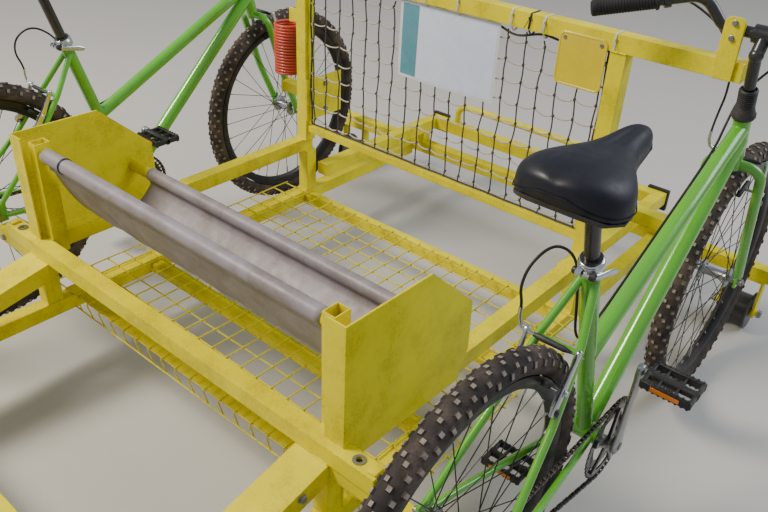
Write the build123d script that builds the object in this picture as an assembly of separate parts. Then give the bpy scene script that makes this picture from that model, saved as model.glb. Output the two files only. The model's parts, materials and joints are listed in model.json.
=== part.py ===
"""Pedal rail cycle: two bicycles, one over each rail, joined by a welded square-tube frame.

Millimetres. X to the right, Y forward in the direction of travel, Z up.
Every place is first given from the rear axle line (Y) and the tyres' tread line (Z),
then the whole model is moved so that its origin is the bottom centre of its box.
"""
from build123d import *
from math import cos, pi, radians, sin, sqrt
import os

# Running gear
GAUGE_HALF = 765.0
WHEELBASE = 1070.0
TYRE_RADIUS = 333.0
TYRE_WIDTH = 50.0
TYRE_WALL = 3.5
TYRE_FLATS = 10
RIM_OUTER = 288.0
RIM_DEPTH = 26.0
RIM_WIDTH = 26.0
SPOKE_RADIUS = 1.2
SPOKES = 32
FRONT_HUB = 100.0
REAR_HUB = 135.0
HUB_RADIUS = 12.0
HUB_FLANGE_RADIUS = 26.0
AXLE_RADIUS = 5.0
LOCKNUT = 5.0
DROPOUT = 6.0
AXLE_NUT = 10.0

# Bicycle frame
CHAINSTAY = 435.0
BRACKET_HEIGHT = 268.0
BRACKET_WIDTH = 70.0
BRACKET_SHELL = 21.0
SEAT_ANGLE = 73.0
SEAT_TUBE = 455.0
HEAD_ANGLE = 74.5
HEAD_TUBE = 95.0
HEAD_TOP = 785.0
FORK_OFFSET = 38.0
TUBE_SEAT = 16.0
TUBE_TOP = 17.0
TUBE_DOWN = 19.0
TUBE_HEAD = 18.0
TUBE_STAY = 7.0
FORK_LEG = 11.0
TOP_TUBE_AT_SEAT = 232.0
SADDLE_TOP = 925.0
SADDLE_DEPTH = 55.0
QUILL_TOP = 918.0
BAR_HEIGHT = 952.0
BAR_RISE = 54.0
BAR_SWEEP = 125.0
BAR_HALF = 300.0
BAR_RADIUS = 11.1
GRIP_RADIUS = 16.0
GRIP_LENGTH = 125.0
CRANK = 170.0
CRANK_ANGLE = 80.0
CRANK_INNER = 62.0
CRANK_THICK = 15.0
SPINDLE_RADIUS = 8.0
PEDAL_AXLE_RADIUS = 5.0
PEDAL_LENGTH = 96.0
CHAINLINE = 50.5
RING_RADIUS = 84.0
SPROCKET_RADIUS = 34.0
CHAIN_HEIGHT = 9.0
CHAIN_WIDTH = 7.0
CHAIN_GAP = 0.6
FREEWHEEL_INNER = 34.0

# Welded frame
TUBE = 38.0
TUBE_WALL = 3.0
SIDE_BEAM_X = 497.5
SIDE_BEAM_TOP = 350.0
CROSS_BAR_TOP = 356.0
CROSS_BAR_HALF = 605.0
COUPLING_X = 557.0
COUPLING_HOLE = 6.5
FLOOR_TOP = 178.0
UPRIGHT_X = 483.0
POST_X = 487.5
POST_Y = 880.0
POST_TOP = 893.0
RAIL_HALF = 747.0
NET_FOOT = 400.0
BUMPER_Y = 1530.0
BUMPER_TOP = 270.0
BUMPER_HALF = 455.0
BUMPER_CAP = 14.0
HOOP_HALF = 335.0
HOOP_RISE = 68.0
HOOP_RADIUS = 11.0
BEAM_Y = 1460.0
BEAM_TOP = 195.0
BEAM_HALF = 835.0
REAR_BEAM_Y = -430.0
PLATE = 4.0

# Wire floor
WIRE = 5.0
FLOOR_REAR = 55.0
FLOOR_FRONT = 905.0
WIRE_PITCH_X = 50.0
WIRE_PITCH_Y = 100.0

# Guide rollers
ROLLER_TREAD = 46.0
ROLLER_FLANGE = 58.0
ROLLER_WIDTH = 84.0
ROLLER_BORE = 10.0
ROLLER_EAR = 6.0
RUNNING_GAP = 0.05
MOVING_GAP = 5.0
SEAT_GAP = 0.3

# Bench
CHEEK_TOP = 615.0
CHEEK_TUBE = 30.0
CHEEK_FLANGE = 42.0
REAR_BAR = (38.0, 575.0)
FRONT_BAR = (300.0, 440.0)
BENCH_BAR_RADIUS = 15.0
SLING_SAG = 388.0
SLING_THICK = 3.0
SLING_HALF = 425.0

FLANGE_DROP = ROLLER_FLANGE - ROLLER_TREAD
FRONT_END = BUMPER_Y + BUMPER_CAP
REAR_END = REAR_BEAM_Y + TUBE / 2 - ROLLER_FLANGE
ORIGIN = Vector(0, -(FRONT_END + REAR_END) / 2, FLANGE_DROP)
CHEEK_X = SIDE_BEAM_X + TUBE / 2
SIDES = {"right": GAUGE_HALF, "left": -GAUGE_HALF}


def box(x, y, z):
    """A block between two values along each axis."""
    return Pos(sum(x) / 2, sum(y) / 2, sum(z) / 2) * Box(x[1] - x[0], y[1] - y[0], z[1] - z[0])


def rod(start, end, radius):
    """A round bar between two points."""
    a, b = Vector(*start), Vector(*end)
    plane = Plane(origin=a, z_dir=(b - a).normalized())
    return extrude(plane * Circle(radius), (b - a).length)


def disc(x, y, z, radius, width):
    """A round disc on an axis along X, centred at the point."""
    return Pos(x, y, z) * Rot(0, 90, 0) * Cylinder(radius, width)


def joined(pieces):
    """One solid from pieces that touch or overlap."""
    solid = pieces[0]
    for piece in pieces[1:]:
        solid = solid + piece
    return solid


def turned(points, x, y, z):
    """A solid of revolution on an axis along X, from (along, radius) corners."""
    outline = make_face(Polyline(*[(r, a) for a, r in points], close=True))
    return Pos(x, y, z) * Rot(0, 90, 0) * revolve(Plane.XZ * outline, Axis.Z)


def bent(points, radius, turns):
    """A round bar along straight runs joined by arcs of the given radii."""
    path = FilletPolyline(*points, radius=turns)
    return sweep(Plane(origin=path @ 0, z_dir=path % 0) * Circle(radius), path=path)


def side_plate(face, x, thick):
    """A plate drawn in the bicycle's (y, z) plane, from x towards greater x."""
    plane = Plane(origin=(x, 0, 0), x_dir=(0, 1, 0), z_dir=(1, 0, 0))
    return extrude(plane * face, thick, dir=(1, 0, 0))


def belt_face(start, start_radius, end, end_radius):
    """The face inside a tight belt round two circles."""
    first = Pos(*start) * Circle(start_radius)
    second = Pos(*end) * Circle(end_radius)
    return make_hull(first.edges() + second.edges())


def mirrored(solid):
    """The solid and its mirror image in the middle plane."""
    return [solid, mirror(solid, Plane.YZ)]


# Bicycle geometry in its own plane, as (y, z)
REAR_AXLE = (0.0, TYRE_RADIUS)
FRONT_AXLE = (WHEELBASE, TYRE_RADIUS)
BRACKET = (sqrt(CHAINSTAY**2 - (TYRE_RADIUS - BRACKET_HEIGHT) ** 2), BRACKET_HEIGHT)
SEAT_DIR = (-cos(radians(SEAT_ANGLE)), sin(radians(SEAT_ANGLE)))
STEER_DIR = (-cos(radians(HEAD_ANGLE)), sin(radians(HEAD_ANGLE)))
STEER_FOOT = (WHEELBASE - FORK_OFFSET * STEER_DIR[1], TYRE_RADIUS + FORK_OFFSET * STEER_DIR[0])
CRANK_DIR = (cos(radians(CRANK_ANGLE)), sin(radians(CRANK_ANGLE)))
CRANK_OUTER = CRANK_INNER + CRANK_THICK
STAY_X = TYRE_WIDTH / 2 + MOVING_GAP + TUBE_STAY


def on_steer(z):
    """The point of the steering axis at a height."""
    return (STEER_FOOT[0] + STEER_DIR[0] * (z - STEER_FOOT[1]) / STEER_DIR[1], z)


def on_seat(length):
    """The point of the seat tube's axis at a length from the bottom bracket."""
    return (BRACKET[0] + SEAT_DIR[0] * length, BRACKET[1] + SEAT_DIR[1] * length)


HEAD_BOTTOM = HEAD_TOP - HEAD_TUBE * STEER_DIR[1]
CROWN_TOP = HEAD_BOTTOM - 8.0
CROWN_MIDDLE = CROWN_TOP - 12.0


def at(x, point):
    """A point of the bicycle's plane at a distance from its middle plane."""
    return (x, point[0], point[1])


def make_bike_frame(x):
    """Head, top, down and seat tubes, bottom bracket shell, stays and rear dropouts."""
    seat_joint = on_seat(SEAT_TUBE - 24)
    parts = [
        rod(at(x, on_steer(HEAD_BOTTOM)), at(x, on_steer(HEAD_TOP)), TUBE_HEAD),
        rod(at(x, BRACKET), at(x, on_seat(SEAT_TUBE)), TUBE_SEAT),
        rod(at(x, on_seat(TOP_TUBE_AT_SEAT)), at(x, on_steer(HEAD_TOP - 26)), TUBE_TOP),
        rod(at(x, BRACKET), at(x, on_steer(HEAD_BOTTOM + 38)), TUBE_DOWN),
        disc(x, *BRACKET, BRACKET_SHELL, BRACKET_WIDTH),
    ]
    drop_x = REAR_HUB / 2 + DROPOUT / 2
    for side in (-1, 1):
        chain_stay = [
            (x + side * drop_x, REAR_AXLE[0] + 20, REAR_AXLE[1] - 4),
            (x + side * (drop_x - 6), REAR_AXLE[0] + 90, REAR_AXLE[1] - 15),
            (x + side * STAY_X, BRACKET[0] - 120, BRACKET[1] + 16),
            (x + side * 22, BRACKET[0] - 10, BRACKET[1]),
        ]
        seat_stay = [
            (x + side * drop_x, REAR_AXLE[0] + 8, REAR_AXLE[1] + 20),
            (x + side * (STAY_X + 14), seat_joint[0] - 150, seat_joint[1] - 190),
            (x + side * STAY_X, seat_joint[0] - 70, seat_joint[1] - 92),
            (x + side * 12, seat_joint[0] - 4, seat_joint[1] - 2),
        ]
        parts.append(bent(chain_stay, TUBE_STAY, [60, 60]))
        parts.append(bent(seat_stay, TUBE_STAY, [80, 60]))
        lug = box((-DROPOUT / 2, DROPOUT / 2), (-15, 26), (-18, 28))
        parts.append(Pos(x + side * drop_x, *REAR_AXLE) * lug)
    bridge = (seat_joint[0] - 72, seat_joint[1] - 94)
    parts.append(rod(at(x - STAY_X, bridge), at(x + STAY_X, bridge), 5))
    solid = joined(parts)
    solid -= disc(x, *BRACKET, SPINDLE_RADIUS + RUNNING_GAP, BRACKET_WIDTH + 10)
    solid -= disc(x, *REAR_AXLE, AXLE_RADIUS + SEAT_GAP, REAR_HUB + 20)
    return solid


def make_fork(x):
    """Unicrown fork: steerer stub, two curved legs, dropouts."""
    crown = on_steer(CROWN_MIDDLE)
    leg_x = FRONT_HUB / 2 + DROPOUT / 2
    parts = [rod(at(x, on_steer(CROWN_MIDDLE - 10)), at(x, on_steer(HEAD_BOTTOM)), 17)]
    for side in (-1, 1):
        leg = [
            (x, crown[0], crown[1]),
            (x + side * (leg_x + 6), crown[0] + 10, crown[1] - 6),
            (x + side * (leg_x + 4), crown[0] + 70, crown[1] - 190),
            (x + side * leg_x, FRONT_AXLE[0] - 4, FRONT_AXLE[1] + 18),
        ]
        parts.append(bent(leg, FORK_LEG, [34, 300]))
        tab = box((-DROPOUT / 2, DROPOUT / 2), (-13, 12), (-14, 30))
        parts.append(Pos(x + side * leg_x, *FRONT_AXLE) * tab)
    return joined(parts) - disc(x, *FRONT_AXLE, AXLE_RADIUS + SEAT_GAP, FRONT_HUB + 20)


def bar_clamp():
    """The handlebar's centre in the bicycle's plane."""
    return (POST_Y + BAR_RADIUS + 2 * SEAT_GAP, BAR_HEIGHT)


def bar_points(x, side):
    """Corners of one half of the riser bar, from its centre to its end."""
    y, z = bar_clamp()
    return [(x, y, z), (x + side * 82, y, z), (x + side * 125, y - 12, z + BAR_RISE),
            (x + side * BAR_HALF, y - BAR_SWEEP, z + 12)]


def make_handlebar(x):
    """Quill stem and a riser bar bent back at its ends."""
    neck = on_steer(QUILL_TOP)
    y, z = bar_clamp()
    left, right = bar_points(x, -1), bar_points(x, 1)
    bar = bent(left[::-1][:-1] + right[1:], BAR_RADIUS, [44, 30, 30, 44])
    parts = [
        rod(at(x, on_steer(HEAD_TOP)), at(x, on_steer(HEAD_TOP + 60)), 15),
        rod(at(x, on_steer(HEAD_TOP + 40)), at(x, neck), 11.5),
        Pos(x, *neck) * Sphere(14),
        rod(at(x, neck), (x, y, z), 13),
        disc(x, y, z, 18, 42),
        bar,
    ]
    return joined(parts)


def make_grip(x, side):
    """Rubber grip over the last part of the bar."""
    corner, end = [Vector(*point) for point in bar_points(x, side)[2:]]
    along = (end - corner).normalized()
    start = end - along * GRIP_LENGTH
    tip = end + along * 4
    sleeve = rod(tuple(start), tuple(tip), GRIP_RADIUS)
    return sleeve - rod(tuple(start - along), tuple(end), BAR_RADIUS)


def make_saddle(x):
    """Comfort saddle: a wide rear pad that narrows to a nose."""
    middle = on_seat(SEAT_TUBE + 170)[0]
    outline = [(middle - 120, -52), (middle - 128, 0), (middle - 120, 52), (middle - 80, 88), (middle - 30, 78),
               (middle + 40, 32), (middle + 120, 22), (middle + 145, 0), (middle + 120, -22), (middle + 40, -32),
               (middle - 30, -78), (middle - 80, -88)]
    plan = make_face(Polyline(*[(x + across, y) for y, across in outline], close=True))
    pad = extrude(Pos(0, 0, SADDLE_TOP - SADDLE_DEPTH) * plan, SADDLE_DEPTH)
    return pad


def make_seat_post(x):
    """Seat post with its clamp and the saddle's two rails."""
    top = on_seat(SEAT_TUBE + 162)
    under = SADDLE_TOP - SADDLE_DEPTH - 4.0
    parts = [
        rod(at(x, on_seat(SEAT_TUBE)), at(x, top), 12.7),
        rod(at(x, on_seat(SEAT_TUBE)), at(x, on_seat(SEAT_TUBE + 22)), 18),
        box((x - 25, x + 25), (top[0] - 22, top[0] + 22), (top[1] - 8, top[1] + 10)),
    ]
    for side in (-1, 1):
        rail = [(x + side * 22, top[0] - 78, under), (x + side * 22, top[0] - 52, top[1] + 6),
                (x + side * 22, top[0] + 52, top[1] + 6), (x + side * 12, top[0] + 110, under)]
        parts.append(bent(rail, 3.5, [14, 20]))
    return joined(parts)


def make_wheel(x, axle, hub_width, rear):
    """Rim, spokes and hub as one solid, and the tyre as another."""
    y, z = axle
    half = RIM_WIDTH / 2
    bed = RIM_OUTER - 15
    rim = turned([(-half, RIM_OUTER), (-half + 2, RIM_OUTER), (-half + 3, bed), (half - 3, bed), (half - 2, RIM_OUTER),
                  (half, RIM_OUTER), (half, bed - 1), (6, RIM_OUTER - RIM_DEPTH), (-6, RIM_OUTER - RIM_DEPTH),
                  (-half, bed - 1)], x, y, z)
    end = hub_width / 2 - LOCKNUT - 1
    bore = AXLE_RADIUS + RUNNING_GAP
    flanges = (-end + 12, FREEWHEEL_INNER - 12) if rear else (-end + 12, end - 12)
    low, high = flanges
    profile = [(-end, bore), (-end, 9), (low - 3, 9), (low - 2, HUB_FLANGE_RADIUS), (low + 1, HUB_FLANGE_RADIUS),
               (low + 3, HUB_RADIUS), (high - 3, HUB_RADIUS), (high - 1, HUB_FLANGE_RADIUS),
               (high + 2, HUB_FLANGE_RADIUS), (high + 3, 9)]
    if rear:
        profile += [(FREEWHEEL_INNER, 9), (FREEWHEEL_INNER, 24), (CHAINLINE - 1.5, 24),
                    (CHAINLINE - 1.5, SPROCKET_RADIUS), (CHAINLINE + 1.5, SPROCKET_RADIUS), (CHAINLINE + 1.5, 9)]
    profile += [(end, 9), (end, bore)]
    parts = [rim, turned(profile, x, y, z)]
    hole = HUB_FLANGE_RADIUS - 4
    for index in range(SPOKES):
        flange = flanges[index % 2]
        angle = 2 * pi * index / SPOKES
        lean = angle + (1 if index % 4 < 2 else -1) * radians(62)
        inner = (x + flange, y + hole * cos(lean), z + hole * sin(lean))
        reach = RIM_OUTER - RIM_DEPTH + 4
        parts.append(spoke(inner, (x, y + reach * cos(angle), z + reach * sin(angle))))
    return joined(parts), make_tyre(x, y, z)


def spoke(start, end):
    """A spoke as a fine square bar, so that a wheel keeps few faces."""
    a, b = Vector(*start), Vector(*end)
    plane = Plane(origin=a, z_dir=(b - a).normalized())
    return extrude(plane * Rectangle(2 * SPOKE_RADIUS, 2 * SPOKE_RADIUS), (b - a).length)


def make_tyre(x, y, z):
    """Tyre as a shell that is open towards the rim, its section drawn with short flats."""
    half = TYRE_WIDTH / 2
    middle = TYRE_RADIUS - half
    foot = RIM_WIDTH / 2
    sweep_angle = pi / 2 + 0.62
    outer = []
    inner = []
    for step in range(TYRE_FLATS + 1):
        angle = pi / 2 - sweep_angle + 2 * sweep_angle * step / TYRE_FLATS
        outer.append((half * cos(angle), middle + half * sin(angle)))
        inner.append(((half - TYRE_WALL) * cos(angle), middle + (half - TYRE_WALL) * sin(angle)))
    outline = [(foot, RIM_OUTER)] + outer + [(-foot, RIM_OUTER), (TYRE_WALL - foot, RIM_OUTER)]
    return turned(outline + inner[::-1] + [(foot - TYRE_WALL, RIM_OUTER)], x, y, z)


def make_axle(x, axle, hub_width):
    """Fixed axle with a locknut inside and a nut outside each dropout."""
    y, z = axle
    reach = hub_width / 2
    end = reach + DROPOUT + AXLE_NUT
    parts = [disc(x, y, z, AXLE_RADIUS, 2 * end + 8)]
    for side in (-1, 1):
        parts.append(disc(x + side * (reach - LOCKNUT / 2), y, z, 9, LOCKNUT))
        parts.append(disc(x + side * (end - AXLE_NUT / 2), y, z, 9, AXLE_NUT))
    return joined(parts)


def make_crankset(x):
    """Spindle, chainring, both crank arms and the pedal spindles."""
    y, z = BRACKET
    parts = [disc(x, y, z, SPINDLE_RADIUS, 2 * CRANK_OUTER)]
    ring = disc(x + CHAINLINE, y, z, RING_RADIUS, 3)
    for index in range(5):
        angle = radians(CRANK_ANGLE + 72 * index + 36)
        ring = ring - disc(x + CHAINLINE, y + 50 * cos(angle), z + 50 * sin(angle), 19, 10)
    parts += [ring, disc(x + (CHAINLINE + CRANK_INNER) / 2, y, z, 17, CRANK_INNER - CHAINLINE)]
    for side in (-1, 1):
        low = CRANK_INNER if side > 0 else -CRANK_OUTER
        tip = pedal_point(side)
        arm = side_plate(belt_face(BRACKET, 17, tip, 12), x + low, CRANK_THICK)
        spindle_length = CRANK_THICK + MOVING_GAP + PEDAL_LENGTH - 6
        parts += [arm, disc(x + side * (CRANK_INNER + spindle_length / 2), *tip, PEDAL_AXLE_RADIUS, spindle_length)]
    return joined(parts)


def pedal_point(side):
    """The pedal spindle's place in the bicycle's plane."""
    return (BRACKET[0] + side * CRANK * CRANK_DIR[0], BRACKET[1] + side * CRANK * CRANK_DIR[1])


def make_pedal(x, side):
    """Platform pedal: a core tube, front and rear bars and two end plates."""
    y, z = pedal_point(side)
    near = CRANK_OUTER + MOVING_GAP
    middle = x + side * (near + PEDAL_LENGTH / 2)
    half = PEDAL_LENGTH / 2
    parts = [disc(middle, y, z, 10, PEDAL_LENGTH)]
    for dy in (-34, 34):
        parts.append(box((middle - half, middle + half), (y + dy - 4, y + dy + 4), (z - 9, z + 9)))
    for dx in (-half + 4, half - 4):
        parts.append(box((middle + dx - 4, middle + dx + 4), (y - 34, y + 34), (z - 7, z + 7)))
    pedal = joined(parts)
    hole_length = PEDAL_LENGTH - 4
    return pedal - disc(x + side * (near + hole_length / 2 - 1), y, z, PEDAL_AXLE_RADIUS + RUNNING_GAP, hole_length + 2)


def make_chain(x):
    """Closed chain round the ring and the sprocket, as one plain band."""
    big = RING_RADIUS + CHAIN_GAP
    small = SPROCKET_RADIUS + CHAIN_GAP
    outside = belt_face(REAR_AXLE, small + CHAIN_HEIGHT, BRACKET, big + CHAIN_HEIGHT)
    band = outside - belt_face(REAR_AXLE, small, BRACKET, big)
    return side_plate(band, x + CHAINLINE - CHAIN_WIDTH / 2, CHAIN_WIDTH)


def make_roller(x, y):
    """Guide roller with a flange each side of the rail head."""
    half = ROLLER_WIDTH / 2
    return turned([(-half, ROLLER_BORE), (-half, ROLLER_FLANGE - 3), (-half + 3, ROLLER_FLANGE),
                   (-half + 6, ROLLER_FLANGE), (-half + 9, ROLLER_TREAD), (half - 9, ROLLER_TREAD),
                   (half - 6, ROLLER_FLANGE), (half - 3, ROLLER_FLANGE), (half, ROLLER_FLANGE - 3),
                   (half, ROLLER_BORE)], x, y, ROLLER_TREAD)


def make_roller_bracket(x, y):
    """Two ears under the cross beam with the roller's axle through them."""
    inner = ROLLER_WIDTH / 2 + MOVING_GAP
    outer = inner + ROLLER_EAR
    under = BEAM_TOP - TUBE
    parts = [
        disc(x, y, ROLLER_TREAD, ROLLER_BORE - RUNNING_GAP, 2 * outer + 16),
        box((x - outer, x + outer), (y - TUBE / 2, y + TUBE / 2), (under - ROLLER_EAR, under)),
    ]
    for side in (-1, 1):
        middle = x + side * (inner + outer) / 2
        parts.append(box((middle - ROLLER_EAR / 2, middle + ROLLER_EAR / 2), (y - TUBE / 2, y + TUBE / 2),
                         (ROLLER_TREAD, under)))
        parts.append(disc(middle, y, ROLLER_TREAD, TUBE / 2, ROLLER_EAR))
        parts.append(disc(x + side * (inner - 1), y, ROLLER_TREAD, ROLLER_BORE + 4, 2))
    return joined(parts)


def square_tube(x, y, z, axis):
    """A hollow square tube between two values along each axis, open at both ends."""
    wall = TUBE_WALL
    inner = {"x": (x[0] + wall, x[1] - wall), "y": (y[0] + wall, y[1] - wall), "z": (z[0] + wall, z[1] - wall)}
    inner[axis] = {"x": x, "y": y, "z": z}[axis]
    return box(x, y, z) - box(inner["x"], inner["y"], inner["z"])


def make_welded_frame(nodes):
    """Cross bar, side beams, floor beams, uprights and the barrier's posts and rail."""
    bar_y = (-TUBE / 2, TUBE / 2)
    bar = square_tube((-CROSS_BAR_HALF, CROSS_BAR_HALF), bar_y, (CROSS_BAR_TOP - TUBE, CROSS_BAR_TOP), "x")
    for x in (-COUPLING_X, COUPLING_X):
        bar -= Pos(x, 0, CROSS_BAR_TOP - TUBE / 2) * Cylinder(COUPLING_HOLE, TUBE + 2)
    nodes["rear_cross_bar"] = [bar]
    side_x = (SIDE_BEAM_X - TUBE / 2, SIDE_BEAM_X + TUBE / 2)
    side_z = (SIDE_BEAM_TOP - TUBE, SIDE_BEAM_TOP)
    nodes["side_beams"] = mirrored(box(side_x, (TUBE / 2, POST_Y + TUBE), side_z))
    floor_bottom = FLOOR_TOP - TUBE
    low_x = (UPRIGHT_X - TUBE / 2, UPRIGHT_X + TUBE / 2)
    low = box(low_x, (REAR_BEAM_Y + TUBE, BEAM_Y - TUBE), (floor_bottom, FLOOR_TOP))
    nodes["floor_beams"] = mirrored(low)
    uprights = []
    for y, top in ((0.0, CROSS_BAR_TOP - TUBE), (POST_Y + TUBE / 2, SIDE_BEAM_TOP - TUBE)):
        uprights += mirrored(box(low_x, (y - TUBE / 2, y + TUBE / 2), (FLOOR_TOP, top)))
    nodes["frame_uprights"] = uprights
    inner_x = UPRIGHT_X - TUBE / 2
    nodes["floor_cross_bars"] = [
        box((-inner_x, inner_x), (y - TUBE / 2, y + TUBE / 2), (floor_bottom, FLOOR_TOP - 2 * WIRE))
        for y in (FLOOR_REAR + TUBE / 2, 300.0, 600.0, FLOOR_FRONT - TUBE / 2)
    ]
    post_x = (POST_X - TUBE / 2, POST_X + TUBE / 2)
    post = box(post_x, (POST_Y, POST_Y + TUBE), (SIDE_BEAM_TOP, POST_TOP - TUBE))
    nodes["barrier_posts"] = mirrored(post)
    nodes["barrier_top_rail"] = [box((-RAIL_HALF, RAIL_HALF), (POST_Y, POST_Y + TUBE), (POST_TOP - TUBE, POST_TOP))]
    foot_x = POST_X - TUBE / 2
    nodes["net_foot_bar"] = [box((-foot_x, foot_x), (POST_Y + 6, POST_Y + 26), (NET_FOOT - 20, NET_FOOT))]


def make_floor(nodes):
    """Welded wire floor: a layer across the frame and a layer along it on top."""
    half = UPRIGHT_X - TUBE / 2
    count_y = int((FLOOR_FRONT - FLOOR_REAR) // WIRE_PITCH_Y)
    count_x = int((2 * half - 10) // WIRE_PITCH_X)
    low = FLOOR_TOP - 2 * WIRE
    nodes["floor_cross_wires"] = [
        box((-half, half), (FLOOR_REAR + WIRE_PITCH_Y * i, FLOOR_REAR + WIRE_PITCH_Y * i + WIRE), (low, low + WIRE))
        for i in range(count_y + 1)
    ]
    start = -count_x * WIRE_PITCH_X / 2
    nodes["floor_long_wires"] = [
        box((start + WIRE_PITCH_X * i - WIRE / 2, start + WIRE_PITCH_X * i + WIRE / 2),
            (FLOOR_REAR, FLOOR_FRONT), (low + WIRE, FLOOR_TOP))
        for i in range(count_x + 1)
    ]


def make_bench(nodes):
    """Cheek plates with their inner tubes, two cross bars and the hanging seat."""
    foot = TUBE / 2 + 0.5
    outline = [(0, CROSS_BAR_TOP), (0, CHEEK_TOP), (220, CHEEK_TOP - 2), (360, 486), (364, 372), (338, 302),
               (foot, 312), (foot, CROSS_BAR_TOP)]
    face = make_face(Polyline(*outline, close=True))
    plate = side_plate(face, CHEEK_X, PLATE)
    flange = box((CHEEK_X - CHEEK_FLANGE, CHEEK_X), (0, PLATE), (CROSS_BAR_TOP, CHEEK_TOP))
    nodes["bench_cheeks"] = mirrored(plate + flange)
    inner_x = SIDE_BEAM_X - TUBE / 2
    tube = square_tube((inner_x - CHEEK_TUBE, inner_x), (TUBE / 2, 3 * TUBE / 2), (CROSS_BAR_TOP - TUBE, 602), "z")
    nodes["bench_cheek_tubes"] = mirrored(tube)
    reach = inner_x - CHEEK_TUBE
    nodes["bench_bars"] = [
        rod((-reach, *REAR_BAR), (reach, *REAR_BAR), BENCH_BAR_RADIUS),
        rod((-CHEEK_X, *FRONT_BAR), (CHEEK_X, *FRONT_BAR), BENCH_BAR_RADIUS),
    ]
    nodes["bench_sling"] = [make_sling()]


def make_sling():
    """Hanging fabric seat between the two bars, a thin curved sheet."""
    gap = BENCH_BAR_RADIUS + SEAT_GAP + SLING_THICK / 2
    line = Polyline((REAR_BAR[0] + gap, REAR_BAR[1]), (REAR_BAR[0] + gap + 12, REAR_BAR[1] - 90),
                    (REAR_BAR[0] + gap + 55, SLING_SAG + 22), (REAR_BAR[0] + gap + 105, SLING_SAG),
                    (FRONT_BAR[0] - gap - 60, SLING_SAG + 12), (FRONT_BAR[0] - gap - 1, FRONT_BAR[1]))
    sheet = offset(line, SLING_THICK / 2, side=Side.BOTH)
    return side_plate(make_face(sheet), -SLING_HALF, 2 * SLING_HALF)


def make_front(nodes):
    """Bumper with its hoop and caps, roller beam, and the arms that hold the forks."""
    arm_x = (BUMPER_HALF - TUBE, BUMPER_HALF)
    bumper_z = (BUMPER_TOP - TUBE, BUMPER_TOP)
    nodes["front_bumper"] = [box((-BUMPER_HALF, BUMPER_HALF), (BUMPER_Y - TUBE, BUMPER_Y), bumper_z)]
    nodes["bumper_arms"] = mirrored(box(arm_x, (POST_Y + TUBE, BUMPER_Y - TUBE), bumper_z))
    cap_x = BUMPER_HALF - 30
    nodes["bumper_caps"] = mirrored(box((cap_x - 34, cap_x + 34), (BUMPER_Y, BUMPER_Y + BUMPER_CAP),
                                        (BUMPER_TOP - 60, BUMPER_TOP + 6)))
    hoop_y = BUMPER_Y - TUBE / 2
    hoop_top = BUMPER_TOP + HOOP_RISE
    nodes["front_hoop"] = [bent([(-HOOP_HALF, hoop_y, BUMPER_TOP), (-HOOP_HALF, hoop_y, hoop_top),
                                 (HOOP_HALF, hoop_y, hoop_top), (HOOP_HALF, hoop_y, BUMPER_TOP)], HOOP_RADIUS, 34)]
    beam = box((-BEAM_HALF, BEAM_HALF), (BEAM_Y - TUBE, BEAM_Y), (BEAM_TOP - TUBE, BEAM_TOP))
    spacer = box(arm_x, (BEAM_Y - TUBE, BEAM_Y), (BEAM_TOP, BUMPER_TOP - TUBE))
    nodes["front_beam"] = [joined([beam] + mirrored(spacer))]
    leg_x = GAUGE_HALF - FRONT_HUB / 2 - DROPOUT / 2 - FORK_LEG - 3.5
    nodes["fork_plates"] = mirrored(box((POST_X - TUBE / 2 - PLATE, POST_X - TUBE / 2), (POST_Y, POST_Y + 150),
                                        (415, 545)))
    nodes["fork_arms"] = mirrored(box((POST_X - TUBE / 2, leg_x), (POST_Y + 3 * TUBE, POST_Y + 4 * TUBE), (425, 457)))


def make_rear(nodes):
    """Rear beam with the rollers, and the channels that carry it."""
    z = (BEAM_TOP - TUBE, BEAM_TOP)
    nodes["rear_beam"] = [box((-BEAM_HALF, BEAM_HALF), (REAR_BEAM_Y, REAR_BEAM_Y + TUBE), z)]
    start = (-TUBE / 2, CROSS_BAR_TOP - TUBE - 22)
    end = (REAR_BEAM_Y + TUBE / 2, BEAM_TOP + 18)
    outline = [(start[0], start[1] + 22), (start[0], start[1] - 22), (end[0], end[1] - 18), (end[0], end[1] + 22)]
    face = make_face(Polyline(*outline, close=True))
    nodes["rear_channels"] = mirrored(side_plate(face, UPRIGHT_X - 62, 82))
    arm_x = (UPRIGHT_X + TUBE / 2, GAUGE_HALF - REAR_HUB / 2 - DROPOUT - AXLE_NUT - 4)
    nodes["rear_axle_arms"] = mirrored(box(arm_x, (-16, 16), (CROSS_BAR_TOP - TUBE - 32, CROSS_BAR_TOP - TUBE)))


def make_fittings(nodes):
    """Handlebar tabs, plates, net and the red coil."""
    tabs = []
    for x in (GAUGE_HALF - 55, -GAUGE_HALF + 55):
        tabs.append(box((x - 20, x + 20), (POST_Y - 6, POST_Y), (POST_TOP - TUBE, POST_TOP + 85)))
    nodes["handlebar_tabs"] = tabs
    nodes["number_plate"] = [box((344, 462), (POST_Y - 2, POST_Y), (755, POST_TOP - TUBE + 20))]
    net_x = POST_X - TUBE / 2 - 4
    net_y = POST_Y + 13
    nodes["barrier_net"] = [box((-net_x, net_x), (net_y, net_y + 6), (NET_FOOT + 0.3, POST_TOP - TUBE - 0.3))]
    nodes["notice_sheet"] = [box((-125, 182), (net_y - 2.3, net_y - 0.3), (648, 852))]
    nodes["red_coil"] = [Pos(-POST_X - TUBE / 2 - 48, POST_Y + TUBE / 2, 620) * Cylinder(48, 160)]


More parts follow.
